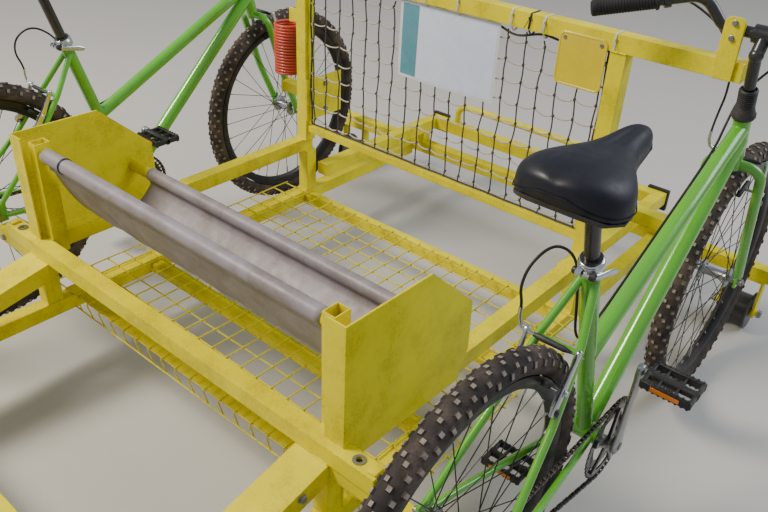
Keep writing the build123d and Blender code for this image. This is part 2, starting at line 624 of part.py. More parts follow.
def make_all():
    """Every node, as name and solids, before the move to the origin."""
    nodes = {}
    make_welded_frame(nodes)
    make_floor(nodes)
    make_bench(nodes)
    make_front(nodes)
    make_rear(nodes)
    make_fittings(nodes)
    for name in ("axles", "forks", "handlebars", "handlebar_grips", "saddles", "seat_posts", "chains", "roller_brackets"):
        nodes[name] = []
    for side_name, x in SIDES.items():
        nodes[f"{side_name}_bike_frame"] = [make_bike_frame(x)]
        nodes["forks"].append(make_fork(x))
        nodes["handlebars"].append(make_handlebar(x))
        nodes["handlebar_grips"] += [make_grip(x, side) for side in (-1, 1)]
        nodes["saddles"].append(make_saddle(x))
        nodes["seat_posts"].append(make_seat_post(x))
        nodes["chains"].append(make_chain(x))
        for end, axle, hub in (("front", FRONT_AXLE, FRONT_HUB), ("rear", REAR_AXLE, REAR_HUB)):
            wheel, tyre = make_wheel(x, axle, hub, end == "rear")
            nodes[f"{side_name}_{end}_wheel"] = [wheel]
            nodes[f"{side_name}_{end}_tyre"] = [tyre]
            nodes["axles"].append(make_axle(x, axle, hub))
        nodes[f"{side_name}_crankset"] = [make_crankset(x)]
        for hand, sign in (("right", 1), ("left", -1)):
            nodes[f"{side_name}_bike_{hand}_pedal"] = [make_pedal(x, sign)]
        for end, y in (("front", BEAM_Y - TUBE / 2), ("rear", REAR_BEAM_Y + TUBE / 2)):
            nodes[f"{side_name}_{end}_roller"] = [make_roller(x, y)]
            nodes["roller_brackets"].append(make_roller_bracket(x, y))
    return nodes


def main():
    """Write one file per node."""
    os.makedirs("parts", exist_ok=True)
    for name, solids in make_all().items():
        flat = []
        for solid in solids:
            flat += solid.solids()
        export_step(Pos(*ORIGIN) * Compound(children=flat), f"parts/{name}.step")


if __name__ == "__main__":
    main()
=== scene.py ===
"""Pedal rail cycle: its finishes, its fine pieces, and the studio picture of it.

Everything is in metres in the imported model's frame: X to the right, Y forward, Z up.
"""
from __future__ import annotations

import json
import logging
import math
import random
from collections.abc import Iterable
from dataclasses import dataclass, field
from enum import Enum
from functools import cache
from math import cos, pi, radians, sin
from typing import ClassVar

import bmesh
import bpy
from mathutils import Matrix, Vector

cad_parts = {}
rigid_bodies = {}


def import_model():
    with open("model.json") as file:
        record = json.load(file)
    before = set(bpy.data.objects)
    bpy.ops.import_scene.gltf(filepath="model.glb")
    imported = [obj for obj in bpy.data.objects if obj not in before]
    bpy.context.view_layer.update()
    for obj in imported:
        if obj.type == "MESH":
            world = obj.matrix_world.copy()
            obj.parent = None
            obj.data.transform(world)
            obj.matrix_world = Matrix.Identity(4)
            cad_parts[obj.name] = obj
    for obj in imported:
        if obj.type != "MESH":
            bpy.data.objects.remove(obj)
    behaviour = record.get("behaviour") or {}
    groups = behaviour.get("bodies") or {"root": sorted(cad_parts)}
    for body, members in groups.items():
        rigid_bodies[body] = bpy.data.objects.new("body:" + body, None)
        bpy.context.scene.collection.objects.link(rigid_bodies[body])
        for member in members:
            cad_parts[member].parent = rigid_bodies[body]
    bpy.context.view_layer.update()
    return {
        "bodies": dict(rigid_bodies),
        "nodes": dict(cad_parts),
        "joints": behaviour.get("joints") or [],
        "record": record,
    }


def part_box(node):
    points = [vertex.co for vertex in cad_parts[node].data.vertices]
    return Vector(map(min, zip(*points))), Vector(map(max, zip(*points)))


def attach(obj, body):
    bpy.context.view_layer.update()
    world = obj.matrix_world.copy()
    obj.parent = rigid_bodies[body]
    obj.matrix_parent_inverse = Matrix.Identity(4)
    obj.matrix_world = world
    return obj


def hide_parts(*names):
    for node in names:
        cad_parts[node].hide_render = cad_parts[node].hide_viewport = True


LOG = logging.getLogger("rail_cycle")
Pair = tuple[float, float]
Path = list[Vector]
MM = 0.001
PHOTO_WIDTH = 768
TURN = 2 * pi
NOISE, RANGE, MIX, MATH = "ShaderNodeTexNoise", "ShaderNodeMapRange", "ShaderNodeMix", "ShaderNodeMath"
RIGHT = Vector((1, 0, 0))
UP = Vector((0, 0, 1))
SIGNS = (-1, 1)

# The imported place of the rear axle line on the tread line; what follows is in millimetres from there.
REAR_AXLE = Vector((0.0, -0.5375, 0.012))
BIKE_X = {"right": 765.0, "left": -765.0}
AXLE_Y = {"rear": 0.0, "front": 1070.0}
AXLE_Z = 333.0
RIM_RADIUS = 288.0
FORK_RAKE = 38.0
BRACKET = (430.1, 268.0)
CHAIN_LINE = 50.5
CRANK_LENGTH = 170.0
CRANK_DEGREES = 80.0
BAR_CORNER = (125.0, 879.7, 1006.0)
BAR_END = (300.0, 766.7, 964.0)


class Finish(Enum):
    """The finishes of the rail cycle, by what each really is."""

    YELLOW = "yellow_enamel_on_welded_steel"
    GREEN = "green_lacquer_on_alloy_tube"
    BLACK_LACQUER = "black_lacquer_on_steel"
    TREAD = "moulded_tyre_rubber"
    TREAD_TOP = "dusty_tread_block_tops"
    GRIP = "ribbed_grip_rubber"
    BLACK_PLASTIC = "moulded_black_plastic"
    ROLLER = "rail_polished_nylon_with_painted_shade"
    VINYL = "padded_saddle_vinyl"
    TARPAULIN = "coated_grey_tarpaulin"
    ROPE_DARK = "dark_braided_net_cord"
    ROPE_PALE = "pale_braided_net_cord"
    PLATE = "yellow_plate_enamel"
    PAPER = "laminated_paper"
    PAPER_BAND = "printed_teal_band"
    POUCH = "clear_laminate"
    COIL = "red_pvc_coated_wire"
    ALLOY = "brushed_aluminium"
    BRIGHT_ALLOY = "polished_aluminium"
    ZINC = "zinc_plated_steel"
    CHAIN = "oiled_chain_steel"
    SPOKE = "black_oxide_spoke_wire"
    RIM = "black_anodised_rim"
    AMBER = "amber_reflector_acrylic"
    CLEAR_TIE = "translucent_nylon_tie"
    FLOOR = "pale_studio_floor"


def srgb(code: str) -> tuple[float, float, float, float]:
    """Turns an sRGB hex colour into linear values.

    Args:
        code: six hex digits.

    Returns:
        Linear red, green, blue and an alpha of 1.
    """
    parts = [int(code[i : i + 2], 16) / 255 for i in (0, 2, 4)]
    red, green, blue = [p / 12.92 if p <= 0.04045 else ((p + 0.055) / 1.055) ** 2.4 for p in parts]
    return (red, green, blue, 1.0)


def per_mm(size: float) -> float:
    """The scale of a noise or Voronoi pattern whose features are this many millimetres wide."""
    return 1 / (size * MM)


def add_node(tree: bpy.types.NodeTree, kind: str, settings: dict | None = None, links: dict | None = None):
    """Adds one shader node.

    Args:
        tree: the material's node tree.
        kind: the node's type name.
        settings: values for its properties or its unlinked sockets.
        links: for each input socket, the output socket that feeds it.

    Returns:
        The node.
    """
    node = tree.nodes.new(kind)
    for key, value in (settings or {}).items():
        if isinstance(key, int) or key in node.inputs:
            node.inputs[key].default_value = value
        else:
            setattr(node, key, value)
    for key, source in (links or {}).items():
        tree.links.new(source, node.inputs[key])
    return node


@dataclass(frozen=True)
class Surface:
    """A finish with a mottled colour, a bump and a gloss, all from real sizes.

    The colour runs between base and shade in patches, specks of dirt lie over it, and chips
    along the edges let the under colour show.
    """

    base: str
    shade: str
    roughness: float
    metallic: float = 0.0
    patch_mm: float = 120.0
    patch_amount: float = 0.5
    dirt: str = "5A4A36"
    dirt_mm: float = 4.0
    dirt_amount: float = 0.0
    under: str = "6B5B4C"
    chip_mm: float = 5.0
    chip_amount: float = 0.0
    chip_reach_mm: float = 2.2
    edge_mm: float = 2.0
    bump_mm: float = 0.6
    bump: float = 0.05
    coat: float = 0.0
    coat_roughness: float = 0.08
    rough_spread: float = 0.12
    specular: float = 0.5

    def build(self, name: str) -> bpy.types.Material:
        """Builds the material.

        Args:
            name: the real material and its process.

        Returns:
            The new material.
        """
        made = bpy.data.materials.new(name)
        made.use_nodes = True
        tree = made.node_tree
        shader = tree.nodes["Principled BSDF"]
        place = {"Vector": add_node(tree, "ShaderNodeTexCoord").outputs["Object"]}
        patches = add_node(tree, NOISE, {"Scale": per_mm(self.patch_mm), "Detail": 4.0, "Roughness": 0.6},
                           place)
        spread = add_node(tree, RANGE, {"From Min": 0.35, "From Max": 0.65, "To Max": self.patch_amount},
                          {"Value": patches.outputs["Fac"]})
        colour = add_node(tree, MIX, {"data_type": "RGBA", 6: srgb(self.base), 7: srgb(self.shade)},
                          {0: spread.outputs[0]}).outputs[2]
        if self.dirt_amount:
            colour = self.add_dirt(tree, place, patches.outputs["Fac"], colour)
        if self.chip_amount:
            colour = self.add_chips(tree, place, colour)
        tree.links.new(colour, shader.inputs["Base Color"])
        self.add_gloss(tree, place, shader)
        return made

    def add_dirt(self, tree: bpy.types.NodeTree, place: dict, patches, colour):
        """Lays specks of dirt in drifts over the colour.

        Args:
            tree: the material's nodes.
            place: the link from the object coordinates.
            patches: the large pattern, which gathers the specks into drifts.
            colour: the colour so far.

        Returns:
            The colour with dirt on it.
        """
        specks = add_node(tree, NOISE, {"Scale": per_mm(self.dirt_mm), "Detail": 6.0, "Roughness": 0.75},
                          place)
        both = add_node(tree, MATH, {"operation": "MULTIPLY"}, {0: specks.outputs["Fac"], 1: patches})
        mask = add_node(tree, RANGE, {"From Min": 0.24, "From Max": 0.36, "To Max": self.dirt_amount},
                        {"Value": both.outputs[0]})
        return add_node(tree, MIX, {"data_type": "RGBA", 7: srgb(self.dirt)},
                        {0: mask.outputs[0], 6: colour}).outputs[2]

    def add_chips(self, tree: bpy.types.NodeTree, place: dict, colour):
        """Breaks the paint along the edges, where knocks take it off.

        Args:
            tree: the material's nodes.
            place: the link from the object coordinates.
            colour: the colour so far.

        Returns:
            The colour with the under colour showing in the chips.
        """
        bevel = add_node(tree, "ShaderNodeBevel", {"samples": 4, "Radius": self.chip_reach_mm * MM})
        flat = add_node(tree, "ShaderNodeNewGeometry")
        facing = add_node(tree, "ShaderNodeVectorMath", {"operation": "DOT_PRODUCT"},
                          {0: bevel.outputs[0], 1: flat.outputs["Normal"]})
        edge = add_node(tree, RANGE, {"From Min": 0.995, "From Max": 0.90},
                        {"Value": facing.outputs["Value"]})
        broken = add_node(tree, NOISE, {"Scale": per_mm(self.chip_mm), "Detail": 5.0, "Roughness": 0.7},
                          place)
        gate = add_node(tree, RANGE, {"From Min": 0.52, "From Max": 0.60, "To Max": self.chip_amount},
                        {"Value": broken.outputs["Fac"]})
        mask = add_node(tree, MATH, {"operation": "MULTIPLY"}, {0: edge.outputs[0], 1: gate.outputs[0]})
        return add_node(tree, MIX, {"data_type": "RGBA", 7: srgb(self.under)},
                        {0: mask.outputs[0], 6: colour}).outputs[2]

    def add_gloss(self, tree: bpy.types.NodeTree, place: dict, shader) -> None:
        """Sets the shader's gloss and the fine bump.

        Args:
            tree: the material's nodes.
            place: the link from the object coordinates.
            shader: the surface shader.
        """
        grain = add_node(tree, NOISE, {"Scale": per_mm(self.bump_mm), "Detail": 3.0, "Roughness": 0.5}, place)
        smears = add_node(tree, NOISE, {"Scale": per_mm(self.patch_mm / 3), "Detail": 5.0, "Roughness": 0.65},
                          place)
        smooth = max(self.roughness - self.rough_spread, 0.02)
        dull = min(self.roughness + self.rough_spread, 1.0)
        rough = add_node(tree, RANGE, {"From Min": 0.3, "From Max": 0.7, "To Min": smooth, "To Max": dull},
                         {"Value": smears.outputs["Fac"]})
        tree.links.new(rough.outputs[0], shader.inputs["Roughness"])
        bump = add_node(tree, "ShaderNodeBump", {"Strength": self.bump, "Distance": 0.3 * MM},
                        {"Height": grain.outputs["Fac"]})
        if self.chip_amount:
            worn = add_node(tree, "ShaderNodeBevel", {"samples": 4, "Radius": self.edge_mm * MM})
            tree.links.new(worn.outputs[0], bump.inputs["Normal"])
        tree.links.new(bump.outputs[0], shader.inputs["Normal"])
        for socket, value in (("Metallic", self.metallic), ("Coat Weight", self.coat),
                              ("Coat Roughness", self.coat_roughness), ("Specular IOR Level", self.specular)):
            shader.inputs[socket].default_value = value


SURFACES = {
    # Brushed-on gloss enamel over welded steel: strong yellow, chalky patches, brown grime, chipped edges
    Finish.YELLOW: Surface(
        "E9DB00", "D2C100", 0.42, patch_mm=90, dirt="5C4A1C", dirt_mm=5, dirt_amount=0.25, under="6A4A2C",
        chip_mm=6, chip_amount=0.9, bump_mm=1.6, bump=0.16, coat=0.05, coat_roughness=0.2, specular=0.25),
    # Sprayed lacquer on alloy tube: even green with a clear, sharp gloss
    Finish.GREEN: Surface(
        "5FB524", "4A9C1C", 0.26, patch_mm=160, dirt="8A8468", dirt_mm=3, dirt_amount=0.12, bump_mm=0.8,
        bump=0.03, coat=0.9, coat_roughness=0.06),
    # Sprayed black lacquer: deep black with a soft gloss
    Finish.BLACK_LACQUER: Surface(
        "17181B", "222428", 0.34, coat=0.4, dirt="6E675A", dirt_mm=3, dirt_amount=0.18, bump_mm=0.7,
        bump=0.04),
    # Moulded tyre rubber: dull grey-black with dry dust in drifts
    Finish.TREAD: Surface(
        "2E2A28", "4C423C", 0.82, patch_mm=70, patch_amount=0.8, dirt="7A6A5C", dirt_mm=2, dirt_amount=0.4,
        bump_mm=1.0, bump=0.25, specular=0.3),
    # The same rubber where the ground has rubbed pale dust into the block tops
    Finish.TREAD_TOP: Surface(
        "9C9186", "6A5F57", 0.9, patch_mm=12, patch_amount=0.9, bump_mm=0.9, bump=0.3, specular=0.2),
    # Soft moulded rubber: matt black
    Finish.GRIP: Surface("1B1B1D", "26262A", 0.72, bump_mm=0.9, bump=0.2),
    # Injection-moulded plastic with a spark-eroded grain
    Finish.BLACK_PLASTIC: Surface(
        "1A1A1C", "28282B", 0.55, dirt="6B6357", dirt_mm=3, dirt_amount=0.25, bump_mm=0.5, bump=0.12),
    # Cast nylon that the rail has polished; its dark colour is partly painted shade, copied from the roller's
    # face in shadow
    Finish.ROLLER: Surface(
        "2A2A2B", "3C3B3A", 0.32, dirt="7B7264", dirt_mm=4, dirt_amount=0.3, bump_mm=1.2, bump=0.08),
    # Padded vinyl: black with a fine leather grain and a broad soft sheen; the blue in its base and shade
    # colours is a painted sheen of the sky
    Finish.VINYL: Surface(
        "090D1A", "0E1322", 0.48, patch_mm=70, dirt="6E6A66", dirt_mm=2, dirt_amount=0.04, bump_mm=0.7,
        bump=0.18, specular=0.4),
    # Lorry tarpaulin, PVC over a polyester weave: grey, faintly mauve, with brown water marks
    Finish.TARPAULIN: Surface(
        "8F888F", "7A7276", 0.55, patch_mm=80, patch_amount=0.8, dirt="6E6252", dirt_mm=8, dirt_amount=0.45,
        bump_mm=1.0, bump=0.3, coat=0.15, coat_roughness=0.35),
    # Braided polypropylene cord in its darker tone
    Finish.ROPE_DARK: Surface("3F3B35", "5A554B", 0.85, patch_mm=20, bump_mm=1.2, bump=0.8),
    # The same cord in a paler tone
    Finish.ROPE_PALE: Surface("BDB7AA", "8F897C", 0.85, patch_mm=20, bump_mm=1.2, bump=0.8),
    # Pressed plate, stove enamelled
    Finish.PLATE: Surface("E2CC1C", "CDB416", 0.3, coat=0.5, bump_mm=2.0, bump=0.04),
    # Paper in a clear pouch: white and glossy; its faint blue is a painted reflection of the sky
    Finish.PAPER: Surface(
        "DCE6FF", "CED9F4", 0.3, patch_mm=60, coat=0.8, coat_roughness=0.12, bump_mm=9.0, bump=0.1),
    # The sheet's printed border, a plain band of ink
    Finish.PAPER_BAND: Surface("4F8FA3", "5C9BAE", 0.32, patch_mm=60, coat=0.7, bump_mm=9.0, bump=0.1),
    # Clear laminate, whitish where nothing lies behind it
    Finish.POUCH: Surface("DDE1E6", "D0D4DA", 0.14, patch_mm=50, coat=1.0, bump_mm=7.0, bump=0.12),
    # PVC-coated spring wire
    Finish.COIL: Surface("D2452A", "B8391F", 0.45, dirt="7A3A20", dirt_mm=4, dirt_amount=0.35, coat=0.3),
    # Brushed aluminium, dulled outdoors
    Finish.ALLOY: Surface(
        "B4B6B8", "96989A", 0.36, metallic=1.0, dirt="5E574C", dirt_mm=3, dirt_amount=0.25, bump_mm=0.5,
        bump=0.06),
    # Polished aluminium: bright, with sharp reflections
    Finish.BRIGHT_ALLOY: Surface(
        "D8DADC", "C4C6C9", 0.22, metallic=1.0, dirt="6A6358", dirt_mm=2, dirt_amount=0.15, bump_mm=0.6,
        bump=0.03),
    # Bright zinc plating gone slightly milky
    Finish.ZINC: Surface(
        "A9A9A4", "8C8C86", 0.42, metallic=1.0, dirt="6B5238", dirt_mm=2.5, dirt_amount=0.35, bump_mm=0.6,
        bump=0.08),
    # Chain steel under oil and road dust
    Finish.CHAIN: Surface(
        "57504A", "3B3531", 0.45, metallic=0.9, dirt="2C241C", dirt_mm=2, dirt_amount=0.6, bump_mm=0.8,
        bump=0.12),
    # Black oxide spoke wire
    Finish.SPOKE: Surface("2B2C2E", "3A3B3D", 0.38, metallic=0.7, bump_mm=0.6, bump=0.04),
    # Anodised rim: satin black
    Finish.RIM: Surface(
        "1C1C1E", "2A2A2C", 0.4, metallic=0.4, dirt="6E675C", dirt_mm=3, dirt_amount=0.3, bump_mm=0.6,
        bump=0.05),
    # Moulded acrylic reflector
    Finish.AMBER: Surface("F0841A", "DB6A0C", 0.18, coat=0.6, bump_mm=1.4, bump=0.5),
    # Nylon cable tie
    Finish.CLEAR_TIE: Surface("D8D6CC", "C2BFB2", 0.4, bump_mm=0.8, bump=0.1),
    # Seamless studio floor
    Finish.FLOOR: Surface("BDBBB6", "B8B6B1", 0.85, patch_mm=900, bump_mm=3.0, bump=0.02),
}


def add_object(name: str, data: bpy.types.ID) -> bpy.types.Object:
    """A new object in the scene, made round its mesh, curve, camera or lamp data."""
    made = bpy.data.objects.new(name, data)
    bpy.context.scene.collection.objects.link(made)
    return made


@cache
def material(finish: Finish) -> bpy.types.Material:
    """The material of a finish, made on the first call."""
    return SURFACES[finish].build(finish.value)


def spot(x: float, y: float, z: float) -> Vector:
    """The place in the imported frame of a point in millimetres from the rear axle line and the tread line."""
    return REAR_AXLE + Vector((x, y, z)) * MM


def spots(path: Iterable[tuple[float, float, float]]) -> Path:
    """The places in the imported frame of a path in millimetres."""
    return [spot(*point) for point in path]


def spoke_way(angle: float) -> Vector:
    """The direction at an angle round an axle that lies along X."""
    return Vector((0, cos(angle), sin(angle)))


def across(along: Vector) -> tuple[Vector, Vector]:
    """Two directions square to a direction and to each other."""
    first = along.cross(UP if abs(along.z) < 0.9 else Vector((0, 1, 0))).normalized()
    return first, along.cross(first)


def angles(count: int) -> list[float]:
    """Equal steps round a full turn."""
    return [TURN * k / count for k in range(count)]


def evenly(low: float, high: float, count: int) -> list[float]:
    """Values from one to another in this many equal steps, both ends among them."""
    return [low + (high - low) * k / count for k in range(count + 1)]


def ring(middle: Vector, first: Vector, second: Vector, radius: float, sides: int) -> Path:
    """Points round a circle in the plane of two directions."""
    return [middle + (first * cos(a) + second * sin(a)) * radius for a in angles(sides)]


def squared(value: float, power: float) -> float:
    """A sine or a cosine raised to a power with its sign kept, which squares a round section off."""
    return math.copysign(abs(value) ** power, value)


def held(value: float) -> float:
    """A value held between 0 and 1."""
    return min(max(value, 0), 1)


@dataclass
class Shaper:
    """Gathers the faces of one piece and turns them into an object."""

    name: str
    finishes: list[Finish]
    body: str = "frame"
    points: Path = field(default_factory=list)
    faces: list[tuple[int, ...]] = field(default_factory=list)
    slots: list[int] = field(default_factory=list)

    def add(self, points: Path, faces: list[tuple[int, ...]], slot: int = 0) -> None:
        """Adds points and the faces between them.

        Args:
            points: new corners.
            faces: corner numbers, counted from the first new point.
            slot: which finish the faces take.
        """
        start = len(self.points)
        self.points += points
        self.faces += [tuple(start + i for i in face) for face in faces]
        self.slots += [slot] * len(faces)

    def loft(self, loops: list[Path], slot: int = 0, closed: bool = False, caps: bool = True) -> None:
        """Skins a row of loops that have the same number of points.

        Args:
            loops: the loops, in order.
            slot: which finish.
            closed: whether the last loop joins the first.
            caps: whether the two ends are closed.
        """
        count = len(loops[0])
        points = [point for loop in loops for point in loop]
        faces: list[tuple[int, ...]] = []
        rows = len(loops) if closed else len(loops) - 1
        for row in range(rows):
            after = (row + 1) % len(loops)
            for i in range(count):
                j = (i + 1) % count
                faces.append((row * count + i, row * count + j, after * count + j, after * count + i))
        if caps and not closed:
            faces.append(tuple(range(count))[::-1])
            faces.append(tuple((len(loops) - 1) * count + i for i in range(count)))
        self.add(points, faces, slot)

    def tube(self, path: Path, radius: float | list[float], sides: int = 12, slot: int = 0,
             closed: bool = False) -> None:
        """Sweeps a round section along a path.

        Args:
            path: points along the middle.
            radius: one radius, or one for each point.
            sides: flats round the section.
            slot: which finish.
            closed: whether the path is a loop.
        """
        radii = radius if isinstance(radius, list) else [radius] * len(path)
        loops: list[Path] = []
        previous: Vector | None = None
        for i, point in enumerate(path):
            ahead = path[(i + 1) % len(path)] if closed or i < len(path) - 1 else point
            behind = path[i - 1] if closed or i > 0 else point
            along = (ahead - behind).normalized()
            if previous is None:
                first = across(along)[0]
            else:
                first = (previous - along * previous.dot(along)).normalized()
            previous = first
            loops.append(ring(point, first, along.cross(first), radii[i], sides))
        self.loft(loops, slot, closed=closed)

    def lathe(self, centre: Vector, profile: list[Pair], turns: int = 96, slot: int = 0,
              closed: bool = True, axis: Vector = RIGHT) -> None:
        """Turns a profile about an axis.

        Args:
            centre: the point of the axis from which the profile is measured.
            profile: corners as (along the axis, radius), in mm.
            turns: steps round the axis.
            slot: which finish.
            closed: whether the profile is a closed ring; if not, its two ends lie on the axis.
            axis: the axis's direction.
        """
        first, second = across(axis)
        points = []
        for angle in angles(turns):
            out = first * cos(angle) + second * sin(angle)
            points += [centre + (axis * x + out * r) * MM for x, r in profile]
        count = len(profile)
        spans = count if closed else count - 1
        faces = []
        for step in range(turns):
            after = (step + 1) % turns
            for i in range(spans):
                j = (i + 1) % count
                faces.append((step * count + i, after * count + i, after * count + j, step * count + j))
        self.add(points, faces, slot)

    def block(self, low: Vector, high: Vector, bevel: float, slot: int = 0,
              turn: Matrix | None = None) -> None:
        """Adds a block with broken edges.

        Args:
            low: its lowest corner.
            high: its highest corner.
            bevel: how far each edge is cut back.
            slot: which finish.
            turn: a transform to apply to it.
        """
        loops = []
        for z, inset in ((low.z, bevel), (low.z + bevel, 0.0), (high.z - bevel, 0.0), (high.z, bevel)):
            x0, x1, y0, y1 = low.x + inset, high.x - inset, low.y + inset, high.y - inset
            loop = [(x0 + bevel, y0), (x1 - bevel, y0), (x1, y0 + bevel), (x1, y1 - bevel),
                    (x1 - bevel, y1), (x0 + bevel, y1), (x0, y1 - bevel), (x0, y0 + bevel)]
            loops.append([Vector((x, y, z)) for x, y in loop])
        if turn is not None:
            loops = [[turn @ point for point in loop] for loop in loops]
        self.loft(loops, slot)

    def bolt(self, foot: Vector, along: Vector, size: float, slot: int = 0) -> None:
        """Adds a washer and a hexagon head.

        Args:
            foot: where the washer lies.
            along: the way the head points.
            size: the thread's diameter.
            slot: which finish.
        """
        out = along.normalized()
        washer, top = size * 0.16, size * 0.8
        for sides, radius, low, high in ((24, size * 1.05, 0.0, washer), (6, size * 0.9, washer, top)):
            levels = ((low, radius), (high - size * 0.08, radius), (high, radius * 0.9))
            self.loft([ring(foot + out * level, *across(out), wide, sides) for level, wide in levels], slot)

    def build(self, sharp_degrees: float = 40.0, levels: int = 0) -> bpy.types.Object:
        """Makes the object and lets it ride on its body.

        Args:
            sharp_degrees: edges sharper than this stay crisp.
            levels: rounds of subdivision.

        Returns:
            The object.
        """
        mesh = bpy.data.meshes.new(self.name)
        mesh.from_pydata([tuple(p) for p in self.points], [], self.faces)
        for finish in self.finishes:
            mesh.materials.append(material(finish))
        mesh.polygons.foreach_set("material_index", self.slots)
        work = bmesh.new()
        work.from_mesh(mesh)
        bmesh.ops.remove_doubles(work, verts=work.verts, dist=0.025 * MM)
        bmesh.ops.recalc_face_normals(work, faces=work.faces)
        work.to_mesh(mesh)
        work.free()
        mesh.polygons.foreach_set("use_smooth", [True] * len(mesh.polygons))
        mesh.set_sharp_from_angle(angle=radians(sharp_degrees))
        mesh.update()
        piece = add_object(self.name, mesh)
        if levels:
            smooth = piece.modifiers.new("smooth", "SUBSURF")
            smooth.levels = levels
            smooth.render_levels = levels
        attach(piece, self.body)
        LOG.info("%s: %d faces on %s", self.name, len(self.faces), self.body)
        return piece


def rounded(corners: Path, radius: float, steps: int = 6) -> Path:
    """Rounds the inner corners of a path.

    Args:
        corners: the path's corners.
        radius: how far before and after a corner the curve starts.
        steps: points on each curve.

    Returns:
        The path with a curve in place of each inner corner.
    """
    path = [corners[0]]
    for before, corner, after in zip(corners, corners[1:], corners[2:]):
        reach = min(radius, (corner - before).length * 0.45, (after - corner).length * 0.45)
        start = corner + (before - corner).normalized() * reach
        end = corner + (after - corner).normalized() * reach
        for i in range(steps + 1):
            t = i / steps
            path.append(start.lerp(corner, t).lerp(corner.lerp(end, t), t))
    return path + [corners[-1]]


def spaced(path: Path, count: int, closed: bool = False) -> Path:
    """Points at equal steps along a path.

    Args:
        path: the path's corners.
        count: how many points are wanted.
        closed: whether the path runs back to its start.

    Returns:
        The points; a closed path's last point isn't its first again.
    """
    corners = path + [path[0]] if closed else path
    lengths = [0.0]
    for before, after in zip(corners, corners[1:]):
        lengths.append(lengths[-1] + (after - before).length)
    points = []
    row = 0
    for i in range(count):
        want = lengths[-1] * i / (count if closed else count - 1)
        while row < len(lengths) - 2 and lengths[row + 1] < want:
            row += 1
        share = (want - lengths[row]) / max(lengths[row + 1] - lengths[row], 1e-9)
        points.append(corners[row].lerp(corners[row + 1], min(share, 1.0)))
    return points


@dataclass
class Tyre:
    """A knobbly tyre: its casing and six rows of tread blocks."""

    node: str
    body: str
    slot: str = "tyre_rubber"
    block_height: float = 2.9
    block_root: float = 0.5
    pitches: int = 58
    bead_half: float = 12.5
    bead_depth: float = 18.0
    rows: tuple = (
        # lean from the tread's middle, phase, width, length
        (-73.0, 0.0, 11.0, 8.4), (-45.0, 0.5, 8.2, 9.0), (-12.5, -0.13, 7.8, 8.6),
        (12.5, 0.13, 7.8, 8.6), (45.0, 0.5, 8.2, 9.0), (73.0, 0.0, 11.0, 8.4),
    )

    def build(self) -> None:
        """Makes the casing and the blocks in place of the plain tyre."""
        low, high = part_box(self.node)
        centre = (low + high) / 2
        half = (high.x - low.x) / 2 / MM
        casing = half - self.block_height
        middle = (high.z - low.z) / 2 / MM - half
        name = self.node.replace("_tyre", "_casing_and_tread")
        shaper = Shaper(name, [Finish.TREAD, Finish.TREAD_TOP], self.body)
        profile = [(self.bead_half, middle - self.bead_depth)]
        for angle in evenly(radians(-36), radians(216), 18):
            profile.append((casing * cos(angle), middle + casing * sin(angle)))
        profile.append((-self.bead_half, middle - self.bead_depth))
        shaper.lathe(centre, profile, turns=144)
        for pitch in range(self.pitches):
            for lean, phase, wide, long in self.rows:
                turn = TURN * (pitch + phase) / self.pitches
                self.add_block(shaper, centre, (middle, casing), radians(lean), turn, (wide, long))
        piece = shaper.build(35)
        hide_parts(self.node)

    def add_block(self, shaper: Shaper, centre: Vector, section: Pair, lean: float, turn: float,
                  size: Pair) -> None:
        """Adds one tread block, its foot wider than its top.

        Args:
            shaper: the tyre's faces.
            centre: the axle's middle.
            section: the casing section's distance from the axle and its own radius, in mm.
            lean: the block's angle from the tread's middle.
            turn: the block's angle round the axle.
            size: its width and length in mm.
        """
        around = spoke_way(turn)
        along = RIGHT.cross(around)
        out = around * cos(lean) + RIGHT * sin(lean)
        side = RIGHT * cos(lean) - around * sin(lean)
        root = centre + (around * section[0] + out * (section[1] - self.block_root)) * MM
        corners = ((-1, -1), (1, -1), (1, 1), (-1, 1))
        levels = [[root + (out * rise + side * a * size[0] * share + along * b * size[1] * share) * MM
                   for a, b in corners] for rise, share in ((0.0, 0.58), (self.block_height + 0.2, 0.42))]
        start = len(shaper.points)
        sides = [(0, 1, 5, 4), (1, 2, 6, 5), (2, 3, 7, 6), (3, 0, 4, 7)]
        shaper.add(levels[0] + levels[1], [*sides, (3, 2, 1, 0)])
        shaper.faces.append((start + 4, start + 5, start + 6, start + 7))
        shaper.slots.append(1)


